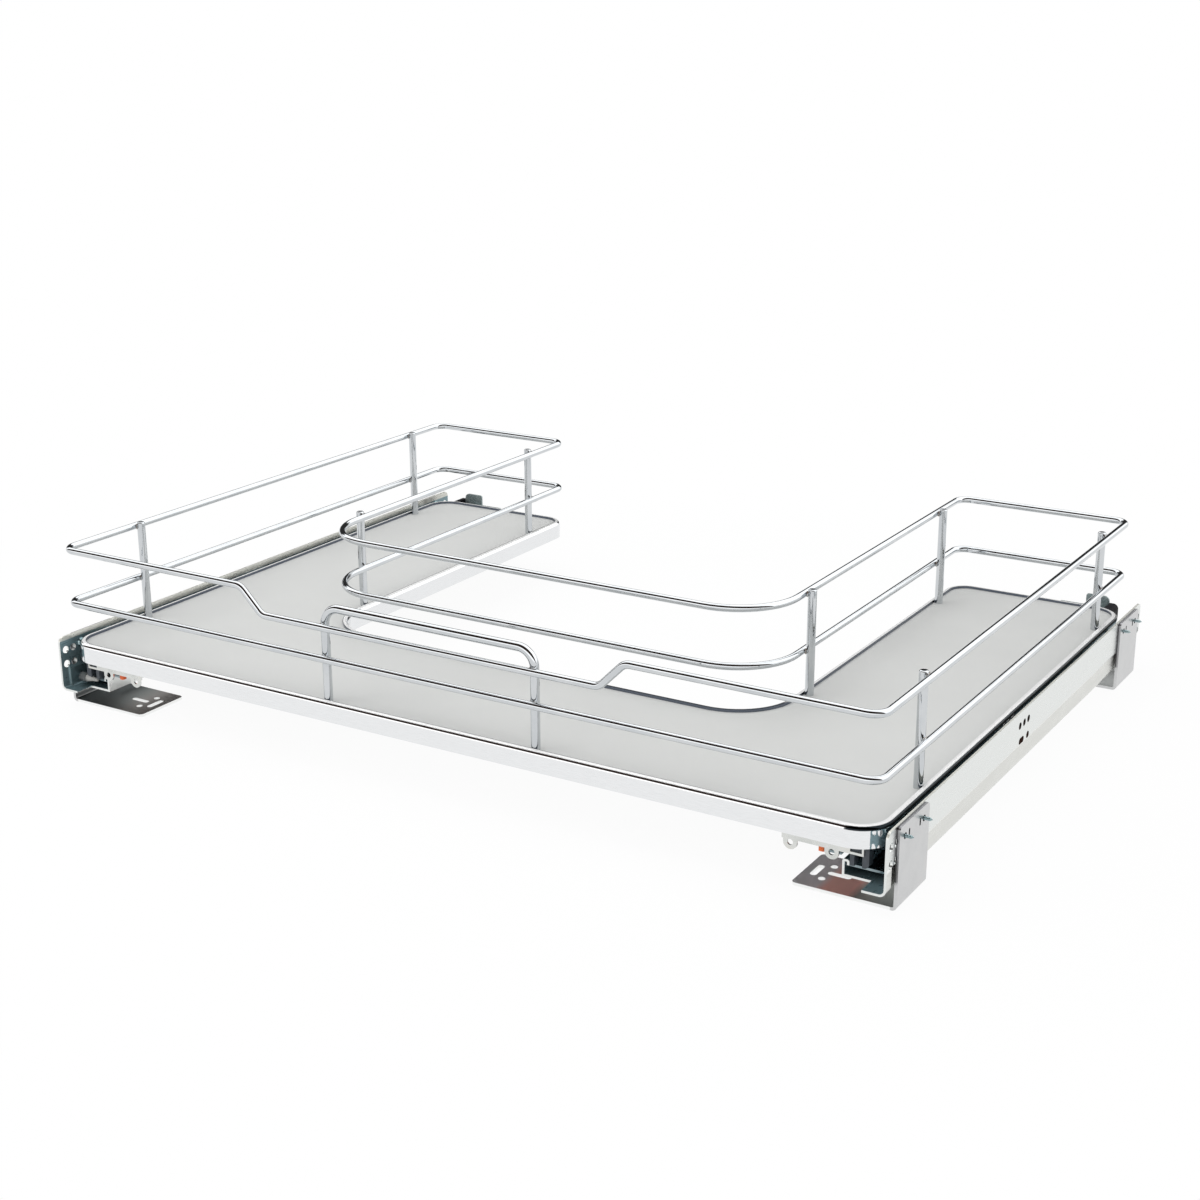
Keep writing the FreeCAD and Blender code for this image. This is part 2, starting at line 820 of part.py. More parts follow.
# Floor bracket: an angle with a foot under the channel and a plate on its wall
def make_bracket(name, side, end):
    bracket = new_body(name)
    gauge = given["bracket_thickness"]
    centre = bracket_centre * end
    half = given["bracket_length"] / 2
    foot_end = bracket_face - given["bracket_foot"]
    bend = given["bracket_bend"]
    corners = [(foot_end, zero, 0), (bracket_face, zero, bend),
               (bracket_face, given["bracket_height"], 0),
               (given["wall_face"], given["bracket_height"], 0),
               (given["wall_face"], gauge, bend - gauge), (foot_end, gauge, 0)]
    angle_bar = add_between(bracket, "angle", "XZ_Plane", centre - half, centre + half)
    draw(angle_bar, rounded(mirrored(corners, side)))
    doc.recompute()
    reach = value_of(foot_end)
    height = value_of(given["bracket_height"])
    foot_edges = edges_where(
        bracket.Tip.Shape,
        lambda box: box.ZLength > 1 and abs(abs(box.Center.x) - reach) < 0.01)
    plate_edges = edges_where(
        bracket.Tip.Shape,
        lambda box: box.ZMin > height - 0.01 and box.YLength < 0.01)
    add_fillet(bracket, "corners", foot_edges + plate_edges, given["foot_corner"])
    cuts = add_between(bracket, "foot_slots", "XY_Plane", zero - gauge, gauge * 2, cut=True)
    cross = side_of(bracket_face - given["cross_slot_place"] - gauge, side)
    draw(cuts, slot(cross, centre, given["cross_slot_length"], given["cross_slot_width"]))
    depth = side_of(bracket_face - given["depth_slot_place"] - gauge, side)
    draw(cuts, slot(depth, centre, given["depth_slot_width"], given["depth_slot_length"]))
    hole = side_of(bracket_face - given["foot_hole_place"] - gauge, side)
    offset = given["foot_hole_offset"]
    draw_circles(cuts, [(hole, centre - offset), (hole, centre + offset)],
                 given["foot_hole_diameter"] / 2)
    low_x, high_x = span(side, given["wall_face"] - gauge, bracket_face + gauge)
    plate = add_between(bracket, "plate_holes", "YZ_Plane", low_x, high_x, cut=True)
    draw_circles(plate, bracket_screw_places(end),
                 given["bracket_screw_diameter"] / 2 + given["screw_clearance"])
    for way in (-1, 1):
        draw(plate, slot(centre + given["plate_slot_offset"] * way,
                         given["bracket_screw_height"],
                         given["plate_slot_width"], given["plate_slot_length"]))


# Pan screws that hold the brackets, from inside the channel's wall
def make_bracket_screws(name, side):
    screws = new_body(name)
    places = bracket_screw_places(-1) + bracket_screw_places(1)
    cap = given["bracket_screw_cap"]
    low_x, high_x = span(side, wall_inner, bracket_face + given["bracket_screw_reach"])
    shanks = add_between(screws, "shanks", "YZ_Plane", low_x, high_x)
    draw_circles(shanks, places, given["bracket_screw_diameter"] / 2)
    low_x, high_x = span(side, wall_inner - cap, wall_inner)
    heads = add_between(screws, "heads", "YZ_Plane", low_x, high_x)
    draw_circles(heads, places, given["bracket_screw_head"] / 2)


# Middle member: foot on the lower balls, web, and head under the upper balls
def make_middle(name, side):
    middle = new_body(name)
    gauge = sheet_thickness
    inner = given["middle_foot_inner"]
    outer = given["middle_foot_outer"]
    web = given["middle_web"]
    head = given["middle_head_inner"]
    lip = middle_top - given["middle_lip"]
    corners = [(inner, middle_bottom, 0), (outer, middle_bottom, 0),
               (outer, middle_bottom + gauge, 0), (web, middle_bottom + gauge, 0),
               (web, middle_top, gauge), (head, middle_top, gauge), (head, lip, 0),
               (head + gauge, lip, 0), (head + gauge, middle_top - gauge, 0),
               (web - gauge, middle_top - gauge, 0), (web - gauge, middle_bottom + gauge, 0),
               (inner, middle_bottom + gauge, 0)]
    start = given["middle_start"] - slide_end
    bar = add_between(middle, "bar", "XZ_Plane", start, start + given["middle_length"])
    draw(bar, rounded(mirrored(corners, side)))


# Drawer member: an open channel that clasps the middle member's head
def make_drawer_profile(name, side):
    drawer = new_body(name)
    gauge = sheet_thickness
    inner = given["drawer_inner"]
    outer = given["drawer_outer"]
    top = given["board_bottom"]
    low = drawer_bottom
    corners = [(inner, low, gauge), (inner + gauge + given["drawer_lip"], low, 0),
               (inner + gauge + given["drawer_lip"], low + gauge, 0),
               (inner + gauge, low + gauge, 0), (inner + gauge, top - gauge, 0),
               (outer - gauge, top - gauge, 0), (outer - gauge, low + gauge, 0),
               (outer - gauge - given["drawer_outer_lip"], low + gauge, 0),
               (outer - gauge - given["drawer_outer_lip"], low, 0),
               (outer, low, gauge), (outer, top, gauge), (inner, top, gauge)]
    bar = add_between(drawer, "bar", "XZ_Plane", drawer_front, drawer_rear)
    draw(bar, rounded(mirrored(corners, side)))


def cage_front(key):
    return given[key] - slide_end


def ball_pitch_length():
    return given["cage_length"] - given["cage_end"] * 2


def add_ball_bores(cage, rows, low, high, side, start):
    bores = add_between(cage, "bores", "XY_Plane", low, high, cut=True)
    radius = given["ball_diameter"] / 2 + given["cage_bore_gap"]
    places = [(side_of(row, side), start + given["cage_end"]) for row in rows]
    draw_circles(bores, places, radius)
    row_pattern(cage, "bore_row", [cage.Tip], ball_pitch_length(), given["ball_count"])


# Lower cage: a plate under the middle member's foot, turned up round its outer edge
def make_lower_cage(name, side):
    cage = new_body(name)
    gap = given["cage_gap"]
    foot_top = middle_bottom + sheet_thickness
    outer = given["middle_foot_outer"] + gap
    face = outer + given["cage_wall"]
    low = floor_top + gap
    high = middle_bottom - gap
    inner = given["lower_row_inner"] - given["ball_diameter"]
    lip = foot_top + gap
    lip_top = lip + given["cage_wall"]
    bend = given["floor_bend"] - sheet_thickness
    corners = [(inner, low, 0), (face, low, bend), (face, lip_top, 0),
               (outer - given["cage_wall"], lip_top, 0), (outer - given["cage_wall"], lip, 0),
               (outer, lip, 0), (outer, high, 0), (inner, high, 0)]
    start = cage_front("lower_cage_start")
    plate = add_between(cage, "plate", "XZ_Plane", start, start + given["cage_length"])
    draw(plate, rounded(mirrored(corners, side)))
    rows = [given["lower_row_inner"], given["lower_row_outer"]]
    add_ball_bores(cage, rows, low, high, side, start)


# Upper cage: a saddle on the middle member's head, inside the drawer member
def make_upper_cage(name, side):
    cage = new_body(name)
    gap = given["cage_gap"]
    low = middle_top + gap
    high = given["board_bottom"] - sheet_thickness - gap
    skirt = middle_top - sheet_thickness
    inner = given["drawer_inner"] + sheet_thickness + gap
    outer = given["drawer_outer"] - sheet_thickness - gap
    head_inner = given["middle_head_inner"] - gap
    head_outer = given["middle_web"] + gap
    corners = [(inner, skirt, 0), (head_inner, skirt, 0), (head_inner, low, 0),
               (head_outer, low, 0), (head_outer, skirt, 0), (outer, skirt, 0),
               (outer, high, 0), (inner, high, 0)]
    start = cage_front("upper_cage_start")
    saddle = add_between(cage, "saddle", "XZ_Plane", start, start + given["cage_length"])
    draw(saddle, rounded(mirrored(corners, side)))
    rows = [given["upper_row_inner"], given["upper_row_outer"]]
    add_ball_bores(cage, rows, low, high, side, start)


# Balls of one cage, in two rows
def make_balls(name, side, rows, start, bottom):
    balls = new_body(name)
    firsts = []
    for number, row in enumerate(rows, start=1):
        ball = balls.newObject("PartDesign::AdditiveSphere", name + "_row_" + str(number))
        ball.Radius = value_of(given["ball_diameter"]) / 2
        ball.setExpression("Radius", formula_of(given["ball_diameter"] / 2))
        centre = (side_of(row, side), start + given["cage_end"],
                  bottom + given["ball_gap"] + given["ball_diameter"] / 2)
        ball.Placement = FreeCAD.Placement(
            FreeCAD.Vector(*[value_of(place) for place in centre]), FreeCAD.Rotation())
        for axis, distance in zip("xyz", centre):
            ball.setExpression("Placement.Base." + axis, formula_of(distance))
        firsts.append(ball)
    row_pattern(balls, "rows", firsts, ball_pitch_length(), given["ball_count"])


# Rear hook: upright tab with a lower wing and a prong that bears on the tray's back
def make_rear_hook(name, side):
    hook = new_body(name)
    gauge = sheet_thickness
    base = given["board_bottom"]
    inner = given["hook_tab_inner"]
    outer = given["hook_tab_outer"]
    top = base + given["hook_tab_height"]
    wing = inner - given["hook_wing"]
    shoulder = base + given["hook_wing_height"]
    plate = add_between(hook, "tab", "XZ_Plane", drawer_rear - gauge, drawer_rear)
    corners = [(given["drawer_inner"] + gauge, base, 0), (outer, base, 0),
               (outer, top, given["bumper_round"]), (inner, top, gauge), (inner, shoulder, 0),
               (wing, shoulder, gauge), (wing, base + gauge, 0),
               (given["drawer_inner"] + gauge, base + gauge, 0)]
    draw(plate, rounded(mirrored(corners, side)))
    foot = add_between(hook, "foot", "XY_Plane", base, base + gauge)
    draw(foot, mirrored([(inner, tray_rear), (outer, tray_rear), (outer, drawer_rear),
                         (inner, drawer_rear)], side))
    middle = (inner + outer) / 2
    half = given["prong_width"] / 2
    prong = add_between(hook, "prong", "XY_Plane", base + gauge,
                        base + gauge + given["prong_height"])
    draw(prong, mirrored([(middle - half, tray_rear), (middle + half, tray_rear),
                          (middle + half, drawer_rear), (middle - half, drawer_rear)], side))


# Black end piece beside the hook
def make_rear_bumper(name, side):
    bumper = new_body(name)
    base = given["board_bottom"]
    top = base + given["bumper_height"]
    inner = given["hook_tab_outer"] + given["seat_gap"]
    outer = given["drawer_outer"]
    block = add_between(bumper, "block", "XZ_Plane", tray_rear, drawer_rear)
    corners = [(inner, base, 0), (outer, base, 0), (outer, top, given["bumper_round"]),
               (inner, top, 0)]
    draw(block, rounded(mirrored(corners, side)))


def lock_line():
    return tray_front + given["lock_front"] - given["lock_sheet"] * 2


# Lock plate: flat part under the board, front flange and two eyelet tabs
def make_lock_plate(name, side):
    plate = new_body(name)
    gauge = given["lock_sheet"]
    top = given["board_bottom"]
    inner = given["lock_inner"]
    outer = given["lock_outer"]
    front = lock_line()
    back = tray_front + given["lock_front"] + given["lock_back"]
    flat = add_between(plate, "flat", "XY_Plane", top - gauge, top)
    inside = given["drawer_inner"] - given["running_gap"]
    draw(flat, mirrored([(inner, front), (outer, front), (outer, drawer_front),
                         (inside, drawer_front), (inside, back), (inner, back)], side))
    flange = add_between(plate, "flange", "XZ_Plane", front, front + gauge)
    low = top - given["lock_flange"]
    tip = top - given["tab_drop"]
    half = given["tab_width"] / 2
    curve = half - given["seat_gap"]
    corners = [(inner, top, 0), (inner, low, 0)]
    for place in (given["tab_inner_place"], given["tab_outer_place"]):
        corners += [(place - half, low, 0), (place - half, tip, curve),
                    (place + half, tip, curve), (place + half, low, 0)]
    corners += [(given["flange_outer"], low, 0), (given["flange_outer"], top, 0)]
    draw(flange, rounded(mirrored(corners, side)))
    window = add_between(plate, "window", "XZ_Plane", front - gauge, front + gauge * 2, cut=True)
    draw(window, mirrored([(given["window_inner"], given["window_bottom"]),
                           (given["window_outer"], given["window_bottom"]),
                           (given["window_outer"], given["window_top"]),
                           (given["window_inner"], given["window_top"])], side))
    eyes = add_between(plate, "eyelets", "XZ_Plane", front - gauge, front + gauge * 2, cut=True)
    height = top - given["eyelet_drop"]
    places = [(side_of(given["tab_inner_place"], side), height),
              (side_of(given["tab_outer_place"], side), height)]
    draw_circles(eyes, places, given["eyelet_diameter"] / 2)
    holes = add_between(plate, "screw_holes", "XY_Plane", top - gauge, top, cut=True)
    draw_circles(holes, lock_screw_places(side),
                 given["lock_screw_diameter"] / 2 + given["seat_gap"])


# Lock body: plastic cover under the plate, with a nose that closes the runner's end
def make_lock_body(name, side):
    cover = new_body(name)
    top = given["board_bottom"] - given["lock_sheet"]
    low = top - given["lock_body_height"]
    front = lock_line() + given["lock_sheet"]
    back = tray_front + given["lock_front"] + given["lock_body_back"]
    inner = given["lock_inner"] + given["lock_sheet"]
    outer = given["lock_body_outer"]
    inside = given["drawer_inner"] - given["running_gap"]
    flat = add_between(cover, "cover", "XY_Plane", low, top)
    draw(flat, mirrored([(inner, front), (outer, front), (outer, drawer_front),
                         (inside, drawer_front), (inside, back), (inner, back)], side))
    nose = add_between(cover, "nose", "XZ_Plane", front, drawer_front)
    nose_inner = given["nose_inner"]
    bottom = given["nose_bottom"]
    corners = [(nose_inner, top, 0), (nose_inner, bottom, 0), (outer, bottom, given["wheel_radius"]),
               (outer, top, 0)]
    draw(nose, rounded(mirrored(corners, side)))
    opening = add_between(cover, "nose_slot", "XZ_Plane", front, drawer_front, cut=True)
    slot_inner = nose_inner + given["damper_wall"] * 2
    slot_outer = slot_inner + given["nose_slot_width"]
    draw(opening, mirrored([(slot_inner, bottom - given["damper_wall"]),
                            (slot_outer, bottom - given["damper_wall"]),
                            (slot_outer, given["nose_slot_top"]),
                            (slot_inner, given["nose_slot_top"])], side))
    bore = add_between(cover, "pin_bore", "XY_Plane", low, top, cut=True)
    draw_circles(bore, [pin_place(side)], given["pin_diameter"] / 2 + given["pin_gap"])


def pin_place(side):
    return (side_of(given["pin_place"], side), tray_front + given["pin_setback"])


def lever_levels():
    high = given["board_bottom"] - given["lock_sheet"] - given["lock_body_height"]
    high = high - given["cage_gap"]
    return high - given["lever_thickness"], high


# Lock lever: an arm that turns on the pin, with a finger turned down at the front
def make_lock_lever(name, side):
    lever = new_body(name)
    low, high = lever_levels()
    x, y = pin_place(1)
    half = given["lever_boss"] / 2
    front = lock_line() + given["lock_sheet"] + given["lever_setback"]
    arm = add_between(lever, "arm", "XY_Plane", low, high)
    corners = [(x - half, y + half, half - given["pin_gap"]), (x - half, front, 0),
               (given["finger_outer"], front, 0),
               (given["finger_outer"], front + given["finger_depth"], 0),
               (x + half, front + given["finger_depth"], 0),
               (x + half, y + half, half - given["pin_gap"])]
    draw(arm, rounded(mirrored(corners, side)))
    finger = add_between(lever, "finger", "XY_Plane", given["finger_bottom"], low)
    rim = given["finger_depth"] / 4
    corners = [(given["finger_inner"], front, rim), (given["finger_outer"], front, rim),
               (given["finger_outer"], front + given["finger_depth"], rim),
               (given["finger_inner"], front + given["finger_depth"], rim)]
    draw(finger, rounded(mirrored(corners, side)))
    bore = add_between(lever, "bore", "XY_Plane", low, high, cut=True)
    draw_circles(bore, [pin_place(side)], given["pin_diameter"] / 2 + given["pin_gap"])


# Headed pin on which the lever turns
def make_lock_pin(name, side):
    pin = new_body(name)
    low = lever_levels()[0]
    neck = low - given["cage_gap"]
    shank = add_between(pin, "shank", "XY_Plane", neck, given["board_bottom"] - given["lock_sheet"])
    draw_circles(shank, [pin_place(side)], given["pin_diameter"] / 2)
    head = add_between(pin, "head", "XY_Plane", neck - given["pin_head_height"], neck)
    draw_circles(head, [pin_place(side)], given["pin_head"] / 2)


# Pan screws that hold the lock plate to the board
def make_lock_screws(name, side):
    screws = new_body(name)
    seat = given["board_bottom"] - given["lock_sheet"]
    shanks = add_between(screws, "shanks", "XY_Plane", seat,
                         given["board_bottom"] + given["lock_screw_reach"])
    draw_circles(shanks, lock_screw_places(side), given["lock_screw_diameter"] / 2)
    heads = add_between(screws, "heads", "XY_Plane", seat - given["lock_screw_cap"], seat)
    draw_circles(heads, lock_screw_places(side), given["lock_screw_head"] / 2)


damper_face = worked_out(
    "damper_face", wall_inner - given["step_inset"] - given["cage_gap"])
damper_top = worked_out("damper_top", given["damper_bottom"] + given["damper_height"])
damper_axis = worked_out("damper_axis", (given["damper_inner"] + damper_face) / 2)
damper_level = worked_out(
    "damper_level",
    given["damper_bottom"] + given["damper_wall"] + given["damper_tube"] / 2 + given["seat_gap"])


# Damper housing: a trough along the wall, held by two clips in the wall's holes
def make_damper_housing(name, side):
    trough = new_body(name)
    wall = given["damper_wall"]
    rear = damper_front + given["damper_length"]
    low_x, high_x = span(side, given["damper_inner"], damper_face)
    block = add_between(trough, "block", "XY_Plane", given["damper_bottom"], damper_top)
    draw(block, [(low_x, damper_front), (high_x, damper_front), (high_x, rear), (low_x, rear)])
    hollow = add_between(trough, "hollow", "XY_Plane", given["damper_bottom"] + wall,
                         damper_top, cut=True)
    draw(hollow, [(low_x + wall, damper_front + wall), (high_x - wall, damper_front + wall),
                  (high_x - wall, rear - wall), (low_x + wall, rear - wall)])
    play = given["clip_play"]
    low_x, high_x = span(side, damper_face, given["wall_face"])
    clips = add_between(trough, "clips", "YZ_Plane", low_x, high_x)
    draw_circles(clips, [(clip_hole, given["clip_hole_height"])],
                 given["mid_hole_diameter"] / 2 - play)
    draw(clips, slot(clip_slot, given["clip_hole_height"],
                     given["clip_slot_length"] - play * 2, given["clip_slot_width"] - play * 2))


def round_bar(name, side, start, length, diameter):
    bar = new_body(name)
    section = add_between(bar, "bar", "XZ_Plane", start, start + length)
    draw_circles(section, [(side_of(damper_axis, side), damper_level)], diameter / 2)
    return bar


def tube_front():
    return damper_front + given["damper_wall"]


def rod_front():
    return tube_front() + given["tube_length"]


# Catch that the closing drawer would meet, on the end of the damper's rod
def make_damper_catch(name, side):
    catch = new_body(name)
    start = rod_front() + given["rod_length"]
    wall = given["damper_wall"]
    gap = given["seat_gap"]
    low_x, high_x = span(side, given["damper_inner"] + wall + gap, damper_face - wall - gap)
    low = given["damper_bottom"] + wall
    block = add_between(catch, "block", "XY_Plane", low, damper_top)
    draw(block, [(low_x, start), (high_x, start), (high_x, start + given["catch_length"]),
                 (low_x, start + given["catch_length"])])
    mouth = add_between(catch, "mouth", "XY_Plane", damper_level, damper_top, cut=True)
    third = given["catch_length"] / 3
    draw(mouth, [(low_x, start + third), (high_x, start + third), (high_x, start + third * 2),
                 (low_x, start + third * 2)])


make_board()
make_band()
make_lower_rail()
make_upper_rail()
make_handle()
make_post_screws()
for side_name, side in (("left_", -1), ("right_", 1)):
    for post_name, (post_x, post_y) in post_places.items():
        make_post(side_name + post_name, side_of(post_x, side), post_y)
    make_cabinet_profile(side_name + "cabinet_profile", side)
    make_bracket(side_name + "front_bracket", side, -1)
    make_bracket(side_name + "rear_bracket", side, 1)
    make_bracket_screws(side_name + "bracket_screws", side)
    make_middle(side_name + "middle_profile", side)
    make_drawer_profile(side_name + "drawer_profile", side)
    make_lower_cage(side_name + "lower_cage", side)
    lower_rows = [given["lower_row_inner"], given["lower_row_outer"]]
    make_balls(side_name + "lower_balls", side, lower_rows, cage_front("lower_cage_start"),
               floor_top)
    make_upper_cage(side_name + "upper_cage", side)
    upper_rows = [given["upper_row_inner"], given["upper_row_outer"]]
    make_balls(side_name + "upper_balls", side, upper_rows, cage_front("upper_cage_start"),
               middle_top)
    make_rear_hook(side_name + "rear_hook", side)
    make_rear_bumper(side_name + "rear_bumper", side)
    make_lock_plate(side_name + "lock_plate", side)
    make_lock_body(side_name + "lock_body", side)
    make_lock_lever(side_name + "lock_lever", side)
    make_lock_pin(side_name + "lock_pin", side)
    make_lock_screws(side_name + "lock_screws", side)
    make_damper_housing(side_name + "damper_housing", side)
    round_bar(side_name + "damper_cylinder", side, tube_front(), given["tube_length"],
              given["damper_tube"])
    round_bar(side_name + "damper_rod", side, rod_front(), given["rod_length"],
              given["rod_diameter"])
    make_damper_catch(side_name + "damper_catch", side)

doc.recompute()

# Every object must be sound before anything is written
for item in doc.Objects:
    if "Invalid" in item.State or "Error" in item.State:
        raise RuntimeError(item.Name + " failed: " + ", ".join(item.State))
    if item.TypeId in ("PartDesign::Pad", "PartDesign::Pocket") and item.BaseFeature:
        change = item.Shape.Volume - item.BaseFeature.Shape.Volume
        if (change > 0) != (item.TypeId == "PartDesign::Pad") or abs(change) < 0.01:
            raise RuntimeError(item.Name + " changes nothing")
for body in sub_parts:
    if body.Shape.isNull() or not body.Shape.isValid() or not body.Shape.Solids:
        raise RuntimeError(body.Label + " has no valid solid")

os.makedirs("parts", exist_ok=True)
for body in sub_parts:
    body.Shape.exportStep("parts/" + body.Label + ".step")
print(len(sub_parts), "sub-parts written")
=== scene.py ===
import math

import bmesh
import bpy
from mathutils import Euler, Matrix, Quaternion, Vector, noise


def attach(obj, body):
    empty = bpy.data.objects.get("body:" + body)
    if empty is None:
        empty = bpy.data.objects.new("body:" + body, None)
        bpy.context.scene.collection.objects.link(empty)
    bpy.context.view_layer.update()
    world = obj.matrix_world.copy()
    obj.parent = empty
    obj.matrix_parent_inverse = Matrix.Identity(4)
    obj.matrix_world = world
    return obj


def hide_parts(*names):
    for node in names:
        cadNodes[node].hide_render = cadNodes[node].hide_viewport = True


# U-shaped vanity pull-out: a grey board tray with wire rails, on two slides that stand on
# the cabinet's floor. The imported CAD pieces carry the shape. This file gives them their
# finishes and adds small details: rail welds, screw threads and one adjusting wheel.
# Lengths are in metres, Z is up and the tray's front faces -Y.

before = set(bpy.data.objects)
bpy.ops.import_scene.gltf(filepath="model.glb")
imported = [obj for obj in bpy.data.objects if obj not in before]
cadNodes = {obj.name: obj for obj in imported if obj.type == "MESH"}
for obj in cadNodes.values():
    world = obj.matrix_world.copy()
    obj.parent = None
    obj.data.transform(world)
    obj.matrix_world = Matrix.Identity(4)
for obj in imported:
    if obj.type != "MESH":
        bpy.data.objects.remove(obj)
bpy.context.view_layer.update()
scene = bpy.context.scene
sides = (("left", -1), ("right", 1))
print("frame loaded:", len(cadNodes), "CAD pieces")


# Camera at the photograph's place
cameraLook = {
    "place": (0.6988, -1.1636, 0.5130),
    "lens": 57.849, "sensor": 36,    # millimetres
    "tilt": 90 - 18.137,             # degrees, as are the next two
    "turn": 31.377,
    "roll": -0.194,
    "nearest": 0.02, "farthest": 50,
}


def placeCamera(look):
    data = bpy.data.cameras.new("camera")
    data.lens = look["lens"]
    data.sensor_width = look["sensor"]
    data.clip_start = look["nearest"]
    data.clip_end = look["farthest"]
    camera = bpy.data.objects.new("camera", data)
    scene.collection.objects.link(camera)
    camera.location = look["place"]
    camera.rotation_mode = "QUATERNION"
    aim = Euler((math.radians(look["tilt"]), 0, math.radians(look["turn"])), "XYZ")
    roll = Quaternion((0, 0, 1), math.radians(look["roll"]))
    camera.rotation_quaternion = aim.to_quaternion() @ roll
    scene.camera = camera


placeCamera(cameraLook)


# Small node helpers that every finish below uses
def addNode(tree, kind, sockets=None, **settings):
    node = tree.nodes.new(kind)
    for name, value in settings.items():
        setattr(node, name, value)
    for name, value in (sockets or {}).items():
        node.inputs[name].default_value = value
    return node


def mathNode(tree, operation, first, second=None, clamp=False):
    node = addNode(tree, "ShaderNodeMath", operation=operation, use_clamp=clamp)
    for index, item in enumerate((first, second)):
        if item is None:
            continue
        if isinstance(item, (int, float)):
            node.inputs[index].default_value = item
        else:
            tree.links.new(item, node.inputs[index])
    return node.outputs[0]


def product(tree, first, *others):
    for other in others:
        first = mathNode(tree, "MULTIPLY", first, other)
    return first


def blend(tree, first, second, shares):
    return mathNode(tree, "ADD", product(tree, first, shares[0]),
                    product(tree, second, shares[1]))


def reverse(tree, value):
    return mathNode(tree, "SUBTRACT", 1.0, value)


def absolute(tree, value):
    return mathNode(tree, "ABSOLUTE", value)


def smoothStep(tree, value, low, high, toLow=0.0, toHigh=1.0):
    node = addNode(tree, "ShaderNodeMapRange",
                   {"From Min": low, "From Max": high, "To Min": toLow, "To Max": toHigh},
                   interpolation_type="SMOOTHSTEP")
    tree.links.new(value, node.inputs["Value"])
    return node.outputs["Result"]


def fadeOut(tree, value, low, high):
    # 1 below low, 0 above high
    return smoothStep(tree, value, low, high, 1.0, 0.0)


def nearTo(place, blur):
    # the two ends of a soft step at a place
    return place - blur, place + blur


def startFinish(name, metallic, roughness, **constants):
    material = bpy.data.materials.new(name)
    material.use_nodes = True
    tree = material.node_tree
    shader = tree.nodes["Principled BSDF"]
    shader.inputs["Metallic"].default_value = metallic
    shader.inputs["Roughness"].default_value = roughness
    for key, value in constants.items():
        shader.inputs[key.replace("_", " ")].default_value = value
    return material, tree, shader


def pieceSpace(tree, stretch=(1, 1, 1)):
    # position on the piece in metres, stretched so that grain can run one way
    coords = addNode(tree, "ShaderNodeTexCoord")
    mapping = addNode(tree, "ShaderNodeMapping", {"Scale": stretch})
    tree.links.new(coords.outputs["Object"], mapping.inputs["Vector"])
    return mapping.outputs["Vector"]


def spotOf(tree):
    # position on the piece as three numbers: across, along and up
    split = addNode(tree, "ShaderNodeSeparateXYZ")
    tree.links.new(pieceSpace(tree), split.inputs["Vector"])
    return split.outputs


def facingOf(tree):
    # which way the surface faces, as three numbers
    geometry = addNode(tree, "ShaderNodeNewGeometry")
    split = addNode(tree, "ShaderNodeSeparateXYZ")
    tree.links.new(geometry.outputs["Normal"], split.inputs["Vector"])
    return split.outputs


def noiseField(tree, space, scale, detail, rough, distortion=0.0):
    node = addNode(tree, "ShaderNodeTexNoise",
                   {"Scale": scale, "Detail": detail, "Roughness": rough,
                    "Distortion": distortion})
    tree.links.new(space, node.inputs["Vector"])
    return node.outputs["Fac"]


def colourRamp(tree, factor, stops):
    node = addNode(tree, "ShaderNodeValToRGB")
    ramp = node.color_ramp
    while len(ramp.elements) < len(stops):
        ramp.elements.new(0.5)
    for element, (place, colour) in zip(ramp.elements, stops):
        element.position = place
        element.color = (*colour, 1)
    tree.links.new(factor, node.inputs["Fac"])
    return node.outputs["Color"]


def mixColours(tree, factor, first, second):
    node = addNode(tree, "ShaderNodeMix", data_type="RGBA")
    tree.links.new(factor, node.inputs[0])
    for index, colour in ((6, first), (7, second)):  # the node's two colour sockets
        if isinstance(colour, tuple):
            node.inputs[index].default_value = (*colour, 1)
        else:
            tree.links.new(colour, node.inputs[index])
    return node.outputs[2]


def setColour(tree, shader, colour):
    tree.links.new(colour, shader.inputs["Base Color"])


def setRoughness(tree, shader, field, over, roughness):
    tree.links.new(smoothStep(tree, field, *over, *roughness), shader.inputs["Roughness"])


def bumpFrom(tree, shader, height, distance, strength):
    node = addNode(tree, "ShaderNodeBump", {"Distance": distance, "Strength": strength})
    tree.links.new(height, node.inputs["Height"])
    tree.links.new(node.outputs["Normal"], shader.inputs["Normal"])


def giveFinish(material, *names):
    for name in names:
        piece = cadNodes[name]
        piece.data.materials.clear()
        piece.data.materials.append(material)


def bothSides(*names):
    return [side + "_" + name for side, sign in sides for name in names]


# In every look below, a noise is given as scale, detail and roughness, "tones" are the places
# of its two or three colours, and "...Over" is the part of it that drives the roughness.

# Chromed wire of the rails, posts and handle
wireLook = {
    "colour": (0.62, 0.640, 0.655), "duller": (0.56, 0.585, 0.605),
    "cloud": (55, 4, 0.6), "tones": (0.35, 0.62),
    "roughness": (0.03, 0.07), "haze": (420, 3, 0.55), "hazeOver": (0.35, 0.75),
    "dieMarks": (900, 2, 0.5), "dieDepth": 0.000004, "dieStrength": 1.0,
}


def chromedWire(name, look):
    material, tree, shader = startFinish(name, 1.0, look["roughness"][0])
    space = pieceSpace(tree)
    cloud = noiseField(tree, space, *look["cloud"])
    setColour(tree, shader, colourRamp(
        tree, cloud, list(zip(look["tones"], (look["duller"], look["colour"])))))
    haze = noiseField(tree, space, *look["haze"])
    setRoughness(tree, shader, haze, look["hazeOver"], look["roughness"])
    bumpFrom(tree, shader, noiseField(tree, space, *look["dieMarks"]), look["dieDepth"],
             look["dieStrength"])
    return material


giveFinish(chromedWire("chromed_wire", wireLook), "upper_rail", "lower_rail", "pull_handle",
           *bothSides("front_post", "rear_post", "gap_post", "arm_rear_post"))
print("chromed wire on the rails, posts and handle")


